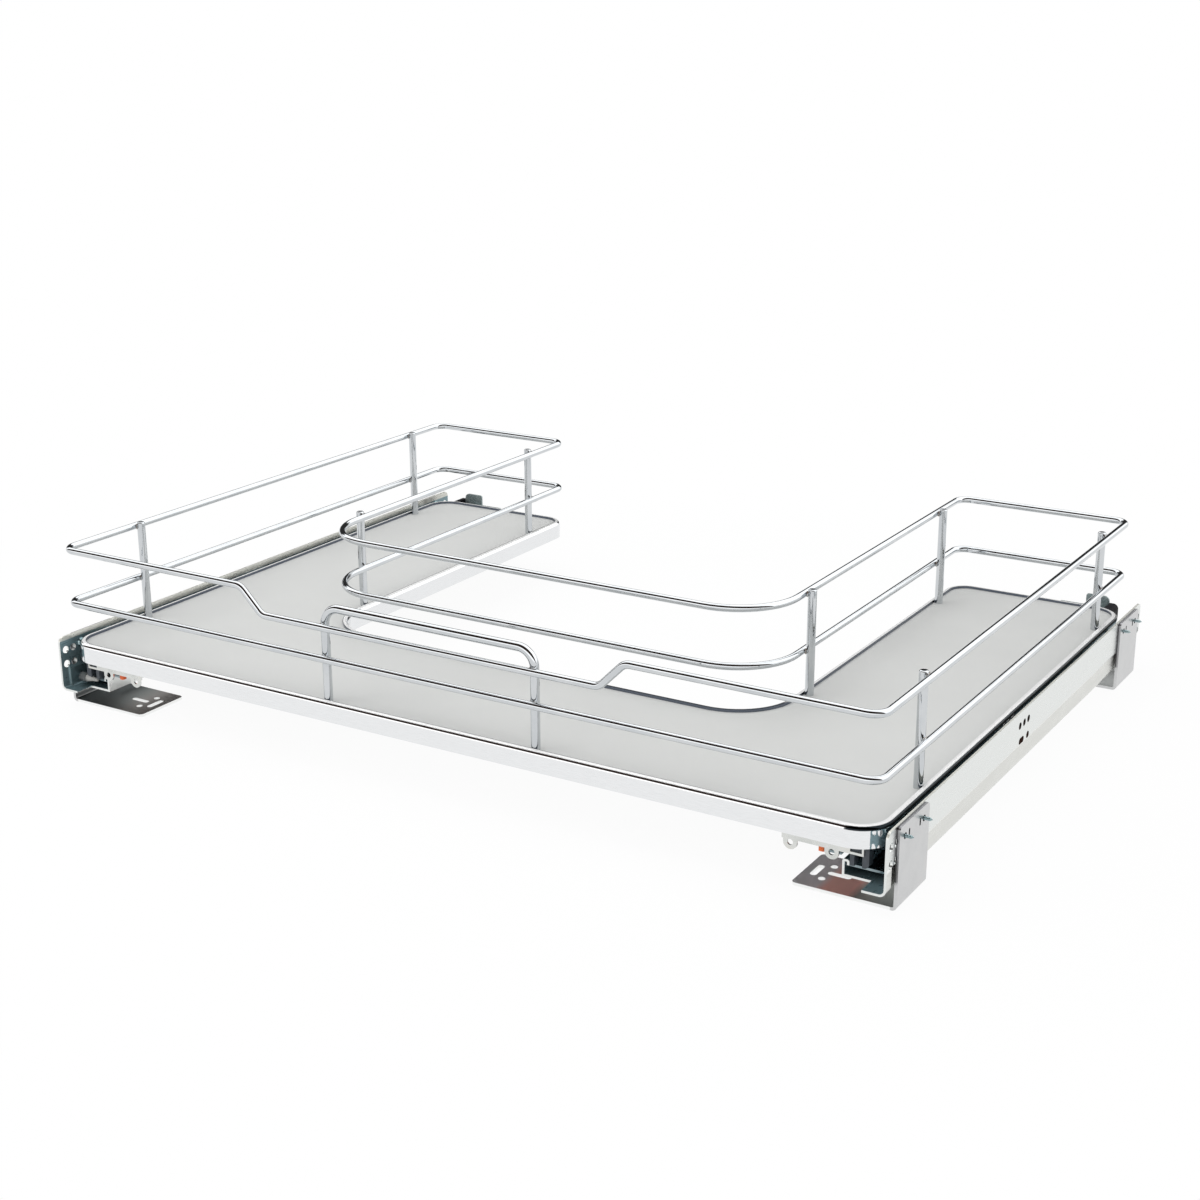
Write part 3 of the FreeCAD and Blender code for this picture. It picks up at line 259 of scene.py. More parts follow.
# Laminated board: warm light grey with a very fine pressed grain
boardLook = {
    "colour": (0.645, 0.652, 0.640), "darker": (0.597, 0.604, 0.594), "shine": 0.35,
    "cloud": (9, 5, 0.55), "speck": (1700, 2, 0.6), "shares": (0.65, 0.35),
    "tones": (0.30, 0.66),
    "roughness": (0.42, 0.56), "speckOver": (0.3, 0.7),
    "grain": (1300, 4, 0.65), "grainDepth": 0.00003, "grainStrength": 0.6,
}


def laminatedBoard(name, look):
    material, tree, shader = startFinish(name, 0.0, 0.5, Specular_IOR_Level=look["shine"])
    space = pieceSpace(tree)
    cloud = noiseField(tree, space, *look["cloud"])
    speck = noiseField(tree, space, *look["speck"])
    both = blend(tree, cloud, speck, look["shares"])
    setColour(tree, shader, colourRamp(
        tree, both, list(zip(look["tones"], (look["darker"], look["colour"])))))
    setRoughness(tree, shader, speck, look["speckOver"], look["roughness"])
    bumpFrom(tree, shader, noiseField(tree, space, *look["grain"]), look["grainDepth"],
             look["grainStrength"])
    return material


giveFinish(laminatedBoard("laminated_board", boardLook), "tray_board")


# Bright metallised strip round the board, with roll marks that run along it
bandLook = {
    "colour": (0.83, 0.84, 0.85), "duller": (0.79, 0.80, 0.81),
    "rollMarks": (190, 3, 0.6), "rollStretch": (1, 1, 9), "tones": (0.3, 0.65),
    "rollDepth": 0.000006, "rollStrength": 0.5,
    "roughness": (0.05, 0.13), "cloud": (38, 4, 0.6), "cloudOver": (0.35, 0.7),
}
# Outline of the board: half width, corner radii, and the gap between its arms
outlineLook = {
    "half": 0.318, "corner": 0.022, "armCorner": 0.018,
    "gapHalf": 0.1805, "gapFront": -0.112, "gapCorner": 0.040,
}
# Tones of the band's lip: painted reflections that stand in for what a rounder lip would
# mirror, and painted shade at its inner step and rim
lipLook = {
    # the right shoulder: a painted reflection of the dark inside of the channel
    "mirrored": (0.014, 0.018, 0.021), "rightFrom": (0.26, 0.27),
    "leanOut": (0.02, 0.10), "leanUp": (0.10, 0.22),
    # the flat top: a painted bright reflection, not metal, with painted shade (a little
    # greyer) on the inner side of the left arm
    "satin": (0.95, 0.95, 0.95), "flatFacing": (0.86, 0.91),
    "armPaintedShade": (0.80, 0.80, 0.79), "armFrom": (-0.189, -0.188), "armTo": (-0.179, -0.178),
    "armBehind": (-0.07, -0.05),
    # painted shade on the inner step down to the board, and on the rim above it
    "step": (0.16, 0.18, 0.22), "stepDepth": (0.0041, 0.0043), "stepFacing": (0.3, 0.5),
    "shadowed": (0.060, 0.066, 0.080), "rimDepth": (0.0039, 0.0041),
    # the part in front of the gap: a painted reflection of the dark room behind
    "gapFrom": (-0.135, -0.095), "gapTo": (0.186, 0.190), "gapFacing": (0.3, 0.5),
    "gapBehind": (-0.126, -0.122), "gapBefore": (-0.085, -0.075),
}


def cornerReach(tree, first, second):
    # distance round a corner, from how far two sides are passed
    both = addNode(tree, "ShaderNodeCombineXYZ")
    for index, passed in enumerate((first, second)):
        tree.links.new(mathNode(tree, "MAXIMUM", passed, 0.0), both.inputs[index])
    length = addNode(tree, "ShaderNodeVectorMath", operation="LENGTH")
    tree.links.new(both.outputs[0], length.inputs[0])
    return length.outputs["Value"]


def edgeDepth(tree, across, along, outline):
    # how far a spot lies inside the board's outline
    corners = [Vector(corner) for corner in cadNodes["edge_band"].bound_box]
    front, rear = min(c.y for c in corners), max(c.y for c in corners)
    fromAxis = absolute(tree, across)
    fromMiddle = absolute(tree, mathNode(tree, "SUBTRACT", along, (front + rear) / 2))
    corner, armCorner = outline["corner"], outline["armCorner"]
    gapCorner = outline["gapCorner"]
    outer = cornerReach(tree, mathNode(tree, "SUBTRACT", fromAxis, outline["half"] - corner),
                        mathNode(tree, "SUBTRACT", fromMiddle, (rear - front) / 2 - corner))
    fromEdge = mathNode(tree, "SUBTRACT", corner, outer)
    gap = cornerReach(
        tree, mathNode(tree, "SUBTRACT", fromAxis, outline["gapHalf"] - gapCorner),
        mathNode(tree, "SUBTRACT", outline["gapFront"] + gapCorner, along))
    fromGap = mathNode(tree, "SUBTRACT", gap, gapCorner)
    arm = cornerReach(tree, mathNode(tree, "SUBTRACT", armCorner, fromEdge),
                      mathNode(tree, "SUBTRACT", armCorner, fromGap))
    return mathNode(tree, "SUBTRACT", armCorner, arm)


def lipTones(tree, shade, look, outline):
    # painted reflections and painted shade on the lip; the flat top is not metal
    across, along = spotOf(tree)[:2]
    facing = facingOf(tree)
    right = smoothStep(tree, across, *look["rightFrom"])
    shoulder = product(tree, right, smoothStep(tree, facing[0], *look["leanOut"]),
                       smoothStep(tree, facing[2], *look["leanUp"]))
    shade = mixColours(tree, shoulder, shade, look["mirrored"])
    flat = smoothStep(tree, facing[2], *look["flatFacing"])
    arm = product(tree, smoothStep(tree, across, *look["armFrom"]),
                  fadeOut(tree, across, *look["armTo"]),
                  smoothStep(tree, along, *look["armBehind"]))
    satin = mixColours(tree, arm, look["satin"], look["armPaintedShade"])
    shade = mixColours(tree, flat, shade, satin)
    depth = edgeDepth(tree, across, along, outline)
    step = product(tree, smoothStep(tree, depth, *look["stepDepth"]),
                   fadeOut(tree, facing[2], *look["stepFacing"]))
    shade = mixColours(tree, step, shade, look["step"])
    rim = product(tree, smoothStep(tree, depth, *look["rimDepth"]), flat, reverse(tree, right))
    beforeGap = product(tree, smoothStep(tree, across, *look["gapFrom"]),
                        fadeOut(tree, absolute(tree, across), *look["gapTo"]),
                        smoothStep(tree, along, *look["gapBehind"]),
                        fadeOut(tree, along, *look["gapBefore"]),
                        smoothStep(tree, facing[2], *look["gapFacing"]))
    paintedDarkMask = mathNode(tree, "MAXIMUM", rim, beforeGap)
    return mixColours(tree, paintedDarkMask, shade, look["shadowed"]), reverse(tree, flat)


def brightBand(name, look, lip, outline):
    material, tree, shader = startFinish(name, 1.0, look["roughness"][0])
    marks = noiseField(tree, pieceSpace(tree, look["rollStretch"]), *look["rollMarks"])
    tint = colourRamp(tree, marks, list(zip(look["tones"], (look["duller"], look["colour"]))))
    shade, metal = lipTones(tree, tint, lip, outline)
    setColour(tree, shader, shade)
    tree.links.new(metal, shader.inputs["Metallic"])
    cloud = noiseField(tree, pieceSpace(tree), *look["cloud"])
    setRoughness(tree, shader, cloud, look["cloudOver"], look["roughness"])
    bumpFrom(tree, shader, marks, look["rollDepth"], look["rollStrength"])
    return material


giveFinish(brightBand("bright_band", bandLook, lipLook, outlineLook), "edge_band")
print("board and band")


# Galvanised sheet of the slide channels, with rolling marks that follow them
sheetLook = {
    "streaks": (260, 4, 0.6), "streakStretch": (1, 0.08, 1), "streakStrength": 0.5,
    "shares": (0.15, 0.85),                  # of the crystals and of the streaks
    "tones": (0.2, 0.7), "roughOver": (0.2, 0.75),
    "wallBlur": 0.00005, "floorBlur": 0.0002, "endFacing": (0.7, 0.9),
}
# Each channel: its tones outside, its painted shade inside, and the faces that bound its
# inside
channelLook = {
    "outer": {"colour": (0.79, 0.81, 0.795), "duller": (0.75, 0.77, 0.755),
              "inside": (0.22, 0.32, 0.35), "walls": (0.2916, 0.3231), "floor": 0.0138,
              "insideMetal": 0.6, "roughness": (0.22, 0.36), "spangle": 130, "depth": 0.00002},
    # the slider's dark tones: painted shade from the tray above it
    "slider": {"colour": (0.30, 0.36, 0.38), "duller": (0.17, 0.22, 0.24),
               "inside": (0.16, 0.22, 0.24), "walls": (0.2808, 0.3070), "floor": 0.0,
               "insideMetal": 0.8, "roughness": (0.20, 0.34), "spangle": 150,
               "depth": 0.00002},
}
# The cabinet profile's tall wall
wallLook = {
    "from": (0.3214, 0.3216), "to": (0.3244, 0.3246), "leanOut": (0.02, 0.06),
    # its step, with a painted highlight, and painted shade, darker and warmer, below it
    "step": (0.0278, 0.0300), "stepBlur": 0.0002,
    "stepPaintedHighlight": (0.90, 0.90, 0.88), "below": (0.70, 0.705, 0.675),
    # its top edge, lower on the inner face behind the tray's front corner: painted light,
    # paler than the painted shade inside the channel
    "rim": (0.0494, 0.0502), "rimLower": (0.0482, 0.0488), "rimBehind": (-0.215, -0.185),
    "rimFacing": (0.10, 0.14), "rimPaintedLight": (0.75, 0.75, 0.69), "rimMetal": 0.5,
    # painted shade on the edges of the middle holes
    "cutEdgeShade": (0.07, 0.055, 0.05), "cutReach": (0.14, 0.16), "cutBelow": (0.0480, 0.0484),
    "cutFacing": (0.3, 0.5),
}


def insideMask(tree, look, sheet):
    # 1 on the faces inside the channel, which get painted shade, 0 on its outer faces and on
    # cut front ends
    spot = spotOf(tree)
    fromAxis = absolute(tree, spot["X"])
    inner, outer = look["walls"]
    return product(tree, smoothStep(tree, fromAxis, *nearTo(inner, sheet["wallBlur"])),
                   fadeOut(tree, fromAxis, *nearTo(outer, sheet["wallBlur"])),
                   smoothStep(tree, spot["Z"], *nearTo(look["floor"], sheet["floorBlur"])),
                   fadeOut(tree, absolute(tree, facingOf(tree)[1]), *sheet["endFacing"]))


def wallTones(tree, shade, look):
    # painted highlight on the step, painted shade below it and on the edges of the middle
    # holes
    across, along, up = spotOf(tree)
    facing = facingOf(tree)
    fromAxis = absolute(tree, across)
    outside = smoothStep(tree, fromAxis, *look["from"])
    outward = product(tree, outside, smoothStep(
        tree, product(tree, facing[0], across), *look["leanOut"]))
    low, high = look["step"]
    for height, colour in ((high, look["stepPaintedHighlight"]), (low, look["below"])):
        under = fadeOut(tree, up, *nearTo(height, look["stepBlur"]))
        shade = mixColours(tree, product(tree, outward, under), shade, colour)
    cut = product(tree, outside, fadeOut(tree, fromAxis, *look["to"]),
                  fadeOut(tree, absolute(tree, facing[0]), *look["cutFacing"]),
                  fadeOut(tree, absolute(tree, along), *look["cutReach"]),
                  fadeOut(tree, up, *look["cutBelow"]))
    return mixColours(tree, cut, shade, look["cutEdgeShade"])


def rimMask(tree, look):
    # the wall's top edge and the part of its inner face that shows above the tray, which get
    # painted light
    across, along, up = spotOf(tree)
    lower = product(tree, smoothStep(tree, up, *look["rimLower"]),
                    smoothStep(tree, along, *look["rimBehind"]))
    high = mathNode(tree, "MAXIMUM", smoothStep(tree, up, *look["rim"]), lower)
    return product(tree, high, fadeOut(
        tree, product(tree, facingOf(tree)[0], across), *look["rimFacing"]))


def keptMetal(tree, mask, metal):
    # full metal outside the mask, less inside it
    return reverse(tree, product(tree, mask, 1.0 - metal))


def galvanisedSheet(name, look, sheet, wall=None):
    material, tree, shader = startFinish(name, 1.0, look["roughness"][0])
    crystals = addNode(tree, "ShaderNodeTexVoronoi", {"Scale": look["spangle"]},
                       feature="F1", distance="EUCLIDEAN")
    tree.links.new(pieceSpace(tree), crystals.inputs["Vector"])
    grey = addNode(tree, "ShaderNodeSeparateColor")
    tree.links.new(crystals.outputs["Color"], grey.inputs["Color"])
    streaks = noiseField(tree, pieceSpace(tree, sheet["streakStretch"]), *sheet["streaks"])
    mixed = blend(tree, grey.outputs[0], streaks, sheet["shares"])
    tint = colourRamp(tree, mixed, list(zip(sheet["tones"], (look["duller"], look["colour"]))))
    # painted shade inside the channel, and painted light on the wall's rim above the tray
    inside = insideMask(tree, look, sheet)
    shade = mixColours(tree, inside, tint, look["inside"])
    metal = keptMetal(tree, inside, look["insideMetal"])
    if wall:
        rim = rimMask(tree, wall)
        shade = mixColours(tree, rim, wallTones(tree, shade, wall), wall["rimPaintedLight"])
        metal = mathNode(tree, "MINIMUM", metal, keptMetal(tree, rim, wall["rimMetal"]))
    setColour(tree, shader, shade)
    tree.links.new(metal, shader.inputs["Metallic"])
    setRoughness(tree, shader, mixed, sheet["roughOver"], look["roughness"])
    bumpFrom(tree, shader, streaks, look["depth"], sheet["streakStrength"])
    return material


giveFinish(galvanisedSheet("galvanised_sheet", channelLook["outer"], sheetLook, wallLook),
           *bothSides("cabinet_profile"))
giveFinish(galvanisedSheet("slider_sheet_painted_shade", channelLook["slider"], sheetLook),
           *bothSides("middle_profile", "drawer_profile"))


# Zinc plate with its faint blue and straw tints
plateLook = {
    "cloud": (70, 5, 0.6, 0.4), "tones": (0.32, 0.55, 0.78),
    "grain": (1500, 3, 0.6), "grainOver": (0.3, 0.72), "grainStrength": 0.5,
}
zincLook = {
    "bracket": {"colour": (0.605, 0.61, 0.612), "duller": (0.575, 0.58, 0.583),
                "tint": (0.615, 0.61, 0.605), "roughness": (0.28, 0.38), "depth": 0.000008},
    "lock": {"colour": (0.70, 0.71, 0.69), "duller": (0.58, 0.60, 0.58),
             "tint": (0.70, 0.68, 0.63), "roughness": (0.20, 0.34), "depth": 0.000012},
    "hook": {"colour": (0.34, 0.40, 0.40), "duller": (0.22, 0.28, 0.29), "metal": 0.5,
             "tint": (0.40, 0.44, 0.43), "roughness": (0.22, 0.34), "depth": 0.000012},
    "screw": {"colour": (0.34, 0.44, 0.46), "duller": (0.14, 0.22, 0.24),
              "tint": (0.40, 0.38, 0.34), "roughness": (0.16, 0.30), "depth": 0.00001},
}
# Passivation tints on the two front feet, from the tray's side outwards, ending in painted
# shade at the outer end
footLook = {
    "top": (0.0166, 0.0176), "reach": (0.240, 0.325), "flatFacing": (0.7, 0.95),
    "left": ((0.0, (0.34, 0.27, 0.25)), (0.40, (0.34, 0.31, 0.30)), (0.62, (0.24, 0.25, 0.25)),
             (1.0, (0.06, 0.075, 0.08))),
    "right": ((0.0, (0.80, 0.79, 0.83)), (0.36, (0.82, 0.74, 0.78)), (0.46, (1.0, 0.53, 0.47)),
              (0.72, (1.0, 0.50, 0.44)), (0.80, (0.26, 0.27, 0.26))),
    # sheared edges of the upright plate: painted shade, dark inside and paler at its outer
    # face
    "cutEdgeShade": (0.10, 0.10, 0.105), "cutPaler": (0.40, 0.40, 0.415),
    "cutSplit": (0.3250, 0.3256), "plateFrom": (0.0175, 0.0185), "edgeFacing": (0.3, 0.5),
    # the foot's own rim, with a painted highlight
    "rimPaintedHighlight": (0.92, 0.93, 0.92), "rimWithin": (0.322, 0.323),
}


def footTintsAndPaintedLight(tree, base, look):
    across, along, up = spotOf(tree)
    facing = facingOf(tree)
    fromAxis = absolute(tree, across)
    share = smoothStep(tree, fromAxis, *look["reach"])
    tintAndShade = mixColours(tree, mathNode(tree, "GREATER_THAN", across, 0.0),
                       colourRamp(tree, share, look["left"]),
                       colourRamp(tree, share, look["right"]))
    front = mathNode(tree, "LESS_THAN", along, 0.0)
    tintAndShadeArea = product(tree, smoothStep(tree, facing[2], *look["flatFacing"]),
                      fadeOut(tree, up, *look["top"]), front)
    shade = mixColours(tree, tintAndShadeArea, base, tintAndShade)
    # painted shade on the plate's sheared edges
    plate = smoothStep(tree, up, *look["plateFrom"])
    sheared = fadeOut(tree, absolute(tree, facing[0]), *look["edgeFacing"])
    cut = mixColours(tree, smoothStep(tree, fromAxis, *look["cutSplit"]),
                     look["cutEdgeShade"], look["cutPaler"])
    shade = mixColours(tree, product(tree, plate, sheared), shade, cut)
    # painted highlight on the foot's rim
    rim = product(tree, fadeOut(tree, absolute(tree, facing[2]), *look["edgeFacing"]),
                  reverse(tree, plate), front, fadeOut(tree, fromAxis, *look["rimWithin"]))
    return mixColours(tree, rim, shade, look["rimPaintedHighlight"])


def zincPlate(name, look, plate, foot=None):
    material, tree, shader = startFinish(name, look.get("metal", 1.0), look["roughness"][0])
    space = pieceSpace(tree)
    cloud = noiseField(tree, space, *plate["cloud"])
    base = colourRamp(tree, cloud, list(zip(
        plate["tones"], (look["duller"], look["colour"], look["tint"]))))
    setColour(tree, shader, footTintsAndPaintedLight(tree, base, foot) if foot else base)
    grain = noiseField(tree, space, *plate["grain"])
    setRoughness(tree, shader, grain, plate["grainOver"], look["roughness"])
    bumpFrom(tree, shader, grain, look["depth"], plate["grainStrength"])
    return material


giveFinish(zincPlate("zinc_bracket", zincLook["bracket"], plateLook, footLook),
           *bothSides("front_bracket", "rear_bracket"))
giveFinish(zincPlate("zinc_lock", zincLook["lock"], plateLook),
           *bothSides("lock_plate", "lock_pin"))
giveFinish(zincPlate("zinc_hook", zincLook["hook"], plateLook), *bothSides("rear_hook"))
screwFinish = zincPlate("zinc_screw", zincLook["screw"], plateLook)
giveFinish(screwFinish, "post_screws", *bothSides("lock_screws", "bracket_screws"))
print("channels, brackets, hooks and screws")


# Moulded plastics: lock body, bumper, lever, cages, damper housing and adjusting wheel
mouldLook = {
    "cloud": (120, 4, 0.6), "tones": (0.35, 0.8), "shine": 0.5,
    "texture": (2200, 3, 0.6), "textureOver": (0.3, 0.7),
    "textureDepth": 0.00003, "textureStrength": 0.5,
}
plasticLook = {
    "lock": {"colour": (0.040, 0.050, 0.062), "paler": (0.075, 0.085, 0.10),
             "roughness": (0.34, 0.52)},
    "bumper": {"colour": (0.008, 0.008, 0.010), "paler": (0.018, 0.018, 0.020),
               "roughness": (0.38, 0.55), "shine": 0.03},
    "lever": {"colour": (0.83, 0.13, 0.02), "paler": (0.92, 0.22, 0.05),
              "roughness": (0.26, 0.40)},
    "cage": {"colour": (0.50, 0.51, 0.52), "paler": (0.62, 0.63, 0.64),
             "roughness": (0.38, 0.55)},
    "damper": {"colour": (0.030, 0.016, 0.013), "paler": (0.055, 0.030, 0.025),
               "roughness": (0.50, 0.62), "shine": 0.0},
    "wheel": {"colour": (0.075, 0.085, 0.085), "paler": (0.16, 0.17, 0.17),
              "roughness": (0.30, 0.45)},
    "hub": {"colour": (0.30, 0.30, 0.285), "paler": (0.46, 0.46, 0.44),
            "roughness": (0.32, 0.46)},
}
plasticPieces = {
    "lock": ("lock_body",), "bumper": ("rear_bumper",), "lever": ("lock_lever",),
    "cage": ("lower_cage", "upper_cage"), "damper": ("damper_housing", "damper_catch"),
}


def mouldedPlastic(kind, look, mould):
    material, tree, shader = startFinish("moulded_" + kind, 0.0, look["roughness"][0],
                                         Specular_IOR_Level=look.get("shine", mould["shine"]))
    space = pieceSpace(tree)
    cloud = noiseField(tree, space, *mould["cloud"])
    setColour(tree, shader, colourRamp(
        tree, cloud, list(zip(mould["tones"], (look["colour"], look["paler"])))))
    texture = noiseField(tree, space, *mould["texture"])
    setRoughness(tree, shader, texture, mould["textureOver"], look["roughness"])
    bumpFrom(tree, shader, texture, mould["textureDepth"], mould["textureStrength"])
    return material


for kind, pieces in plasticPieces.items():
    giveFinish(mouldedPlastic(kind, plasticLook[kind], mouldLook), *bothSides(*pieces))


# Bare steel of the balls, the damper's tube and its rod
drawnLook = {
    "marks": (900, 4, 0.6), "markStretch": (1, 0.1, 1), "tones": (0.3, 0.7),
    "marksOver": (0.3, 0.7), "markDepth": 0.000004, "markStrength": 0.5,
}
steelLook = {
    "ball": {"colour": (0.70, 0.71, 0.72), "duller": (0.60, 0.61, 0.62),
             "roughness": (0.06, 0.14)},
    "tube": {"colour": (0.66, 0.66, 0.68), "duller": (0.54, 0.55, 0.57),
             "roughness": (0.20, 0.34)},
}


def bareSteel(name, look, drawn):
    material, tree, shader = startFinish(name, 1.0, look["roughness"][0])
    marks = noiseField(tree, pieceSpace(tree, drawn["markStretch"]), *drawn["marks"])
    setColour(tree, shader, colourRamp(
        tree, marks, list(zip(drawn["tones"], (look["duller"], look["colour"])))))
    setRoughness(tree, shader, marks, drawn["marksOver"], look["roughness"])
    bumpFrom(tree, shader, marks, drawn["markDepth"], drawn["markStrength"])
    return material


giveFinish(bareSteel("bearing_steel", steelLook["ball"], drawnLook),
           *bothSides("lower_balls", "upper_balls"))
giveFinish(bareSteel("damper_steel", steelLook["tube"], drawnLook),
           *bothSides("damper_cylinder", "damper_rod"))
print("plastics and bare steel")


# Mesh helpers for the added details
def meshPiece(name, mesh, material, body):
    data = bpy.data.meshes.new(name)
    bmesh.ops.recalc_face_normals(mesh, faces=mesh.faces)
    mesh.to_mesh(data)
    mesh.free()
    data.shade_smooth()
    piece = bpy.data.objects.new(name, data)
    scene.collection.objects.link(piece)
    data.materials.append(material)
    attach(piece, body)
    return piece


def ringStack(mesh, rings):
    # joins rings of points, all with the same count, into one closed skin
    rows = [[mesh.verts.new(point) for point in ring] for ring in rings]
    for one, two in zip(rows, rows[1:]):
        for index in range(len(one)):
            after = (index + 1) % len(one)
            mesh.faces.new((one[index], one[after], two[after], two[index]))
    mesh.faces.new(rows[0][::-1])
    mesh.faces.new(rows[-1])


# Welds where each rail crosses a post or a leg of the handle
weldLook = {
    # distances of wires from the middle: side rail and posts, rail and posts by the gap
    "crossings": {"side": (0.3155, 0.31025), "gap": (0.1830, 0.18825)},
    "postRows": {"side": (-0.1635, 0.173), "gap": (-0.057, 0.173)},
    "frontRail": -0.2360, "handleLeg": (0.0825, -0.23075),
    "heights": (0.080, 0.120), "dipHeight": 0.102,
    "outwards": {"side": 0.0002, "gap": -0.0002, "handle": -0.0002},
    "size": (0.0012, 0.0023, 0.0023),        # across the joint, along, up
    "segments": 16, "rows": 9, "lobes": 4, "lobe": 0.22,
    "ripple": 0.16, "rippleScale": 900, "rippleReach": 0.002,
    "colour": (0.55, 0.55, 0.54), "scorch": (0.20, 0.13, 0.09),
    "patches": (520, 4, 0.6), "tones": (0.40, 0.58),
    "roughness": (0.42, 0.16), "patchesOver": (0.3, 0.7),
    "pits": (2400, 3, 0.6), "pitDepth": 0.00008, "pitStrength": 0.7,
}


def weldMetal(name, look):
    material, tree, shader = startFinish(name, 1.0, look["roughness"][1])
    space = pieceSpace(tree)
    patches = noiseField(tree, space, *look["patches"])
    setColour(tree, shader, colourRamp(
        tree, patches, list(zip(look["tones"], (look["scorch"], look["colour"])))))
    setRoughness(tree, shader, patches, look["patchesOver"], look["roughness"])
    bumpFrom(tree, shader, noiseField(tree, space, *look["pits"]), look["pitDepth"],
             look["pitStrength"])
    return material


def weldBead(mesh, centre, across, look):
    # a pressed bead: flat across the joint, uneven round its rim
    up = Vector((0, 0, 1))
    along = across.cross(up)
    wide, long, tall = look["size"]
    rings = []
    for row in range(1, look["rows"]):
        tilt = math.pi * row / look["rows"]
        ring = []
        for step in range(look["segments"]):
            turn = 2 * math.pi * step / look["segments"]
            # fuller in the four corners
            lobe = 1 + look["lobe"] * math.cos(look["lobes"] * turn + math.pi)
            spot = Vector((math.cos(tilt), math.sin(tilt) * math.cos(turn) * lobe,
                           math.sin(tilt) * math.sin(turn) * lobe))
            field = noise.noise((centre + spot * look["rippleReach"]) * look["rippleScale"])
            ripple = 1 + look["ripple"] * field
            ring.append(centre + across * spot.x * wide * ripple
                        + along * spot.y * long * ripple + up * spot.z * tall * ripple)
        rings.append(ring)
    ringStack(mesh, rings)


def weldPlaces(look):
    places = []
    for side, sign in sides:
        for joint, (rail, post) in look["crossings"].items():
            x = sign * ((rail + post) / 2 + look["outwards"][joint])
            places += [(Vector((x, y, z)), Vector((1, 0, 0)))
                       for y in look["postRows"][joint] for z in look["heights"]]
        x, leg = look["handleLeg"]
        y = (look["frontRail"] + leg) / 2 + look["outwards"]["handle"]
        places += [(Vector((sign * x, y, z)), Vector((0, 1, 0)))
                   for z in (look["heights"][0], look["dipHeight"])]
    return places


weldMesh = bmesh.new()
for weldCentre, weldAcross in weldPlaces(weldLook):
    weldBead(weldMesh, weldCentre, weldAcross, weldLook)
meshPiece("rail_welds", weldMesh, weldMetal("weld_metal", weldLook), "tray")
print("rail welds:", len(weldPlaces(weldLook)))


# Bracket screws with rolled threads, in place of the plain ones
screwLook = {
    "seat": 0.3230, "end": 0.3318, "height": 0.0445, "rows": (0.193, 0.221),
    "shank": 0.00115, "root": 0.00088, "pitch": 0.0009, "flank": 1.5,
    "head": ((-0.0020, 0.0012), (-0.0020, 0.0022), (-0.0016, 0.0030), (-0.0007, 0.0035),
             (0.0, 0.0035)),                 # distance from the seat, and radius
    "tip": 0.0016, "tipCurve": 0.75, "tipThin": 0.12,
    "around": 24, "ringsPerTurn": 8,
}


def threadedScrew(mesh, sign, y, z, look):
    around, seat, end, tip = (look[key] for key in ("around", "seat", "end", "tip"))

    def ringOf(spots):
        ring = []
        for part, (place, radius) in enumerate(spots):
            turn = 2 * math.pi * part / around
            ring.append(Vector((sign * place, y + radius * math.cos(turn),
                                z + radius * math.sin(turn))))
        return ring

    rings = [ringOf([(seat + offset, radius)] * around) for offset, radius in look["head"]]
    steps = int((end - seat) / look["pitch"] * look["ringsPerTurn"])
    for step in range(steps + 1):
        place = seat + (end - seat) * step / steps
        spots = []
        for part in range(around):
            phase = (place - seat) / look["pitch"] - part / around
            ridge = 1 - abs((phase % 1) * 2 - 1)
            radius = look["root"]
            radius += (look["shank"] - look["root"]) * min(1, ridge * look["flank"])
            if place > end - tip:
                radius *= max(look["tipThin"], (end - place) / tip) ** look["tipCurve"]
            spots.append((place, radius))
        rings.append(ringOf(spots))
    ringStack(mesh, rings)


for side, sign in sides:
    screwMesh = bmesh.new()
    for row in screwLook["rows"]:
        for end in (-1, 1):
            threadedScrew(screwMesh, sign, end * row, screwLook["height"], screwLook)
    screws = meshPiece(side + "_threaded_screws", screwMesh, screwFinish,
                       "cabinet_side")
    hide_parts(side + "_bracket_screws")
print("threaded bracket screws")


# Adjusting wheel at the left lock's nose: knurled drum outside, paler tapered hub inside
wheelLook = {
    "centre": (-0.2290, 0.0214), "around": 88, "askew": 5.0,
    # profiles: share of the length, and share of the radius
    "drum": {"span": (0.3097, 0.3166), "radius": 0.0034, "ribs": 22, "ribDepth": 0.0005,
             "profile": ((0.0, 0.78), (0.08, 0.96), (0.16, 1.0), (0.86, 1.0), (0.95, 0.94),
                         (1.0, 0.75))},
    "hub": {"span": (0.2996, 0.3098), "radius": 0.0014, "ribs": 0, "ribDepth": 0.0,
            "profile": ((0.0, 0.55), (0.06, 1.0), (0.45, 1.25), (0.85, 1.8), (1.0, 2.0))},
}
wheelPieces = {"left_adjusting_wheel": ("drum", "wheel"), "left_wheel_hub": ("hub", "hub")}


def wheelRings(sign, look, part):
    y, z = look["centre"]
    start, stop = part["span"]
    rings = []
    for share, size in part["profile"]:
        ring = []
        for step in range(look["around"]):
            turn = 2 * math.pi * step / look["around"]
            slant = turn * part["ribs"] + share * look["askew"]
            reach = part["radius"] * size - part["ribDepth"] * (0.5 + 0.5 * math.cos(slant))
            ring.append(Vector((sign * (start + (stop - start) * share),
                                y + reach * math.cos(turn), z + reach * math.sin(turn))))
        rings.append(ring)
    return rings


for pieceName, (part, kind) in wheelPieces.items():
    wheelMesh = bmesh.new()
    ringStack(wheelMesh, wheelRings(-1, wheelLook, wheelLook[part]))
    meshPiece(pieceName, wheelMesh, mouldedPlastic(kind, plasticLook[kind], mouldLook),
              "tray")
print("adjusting wheel")


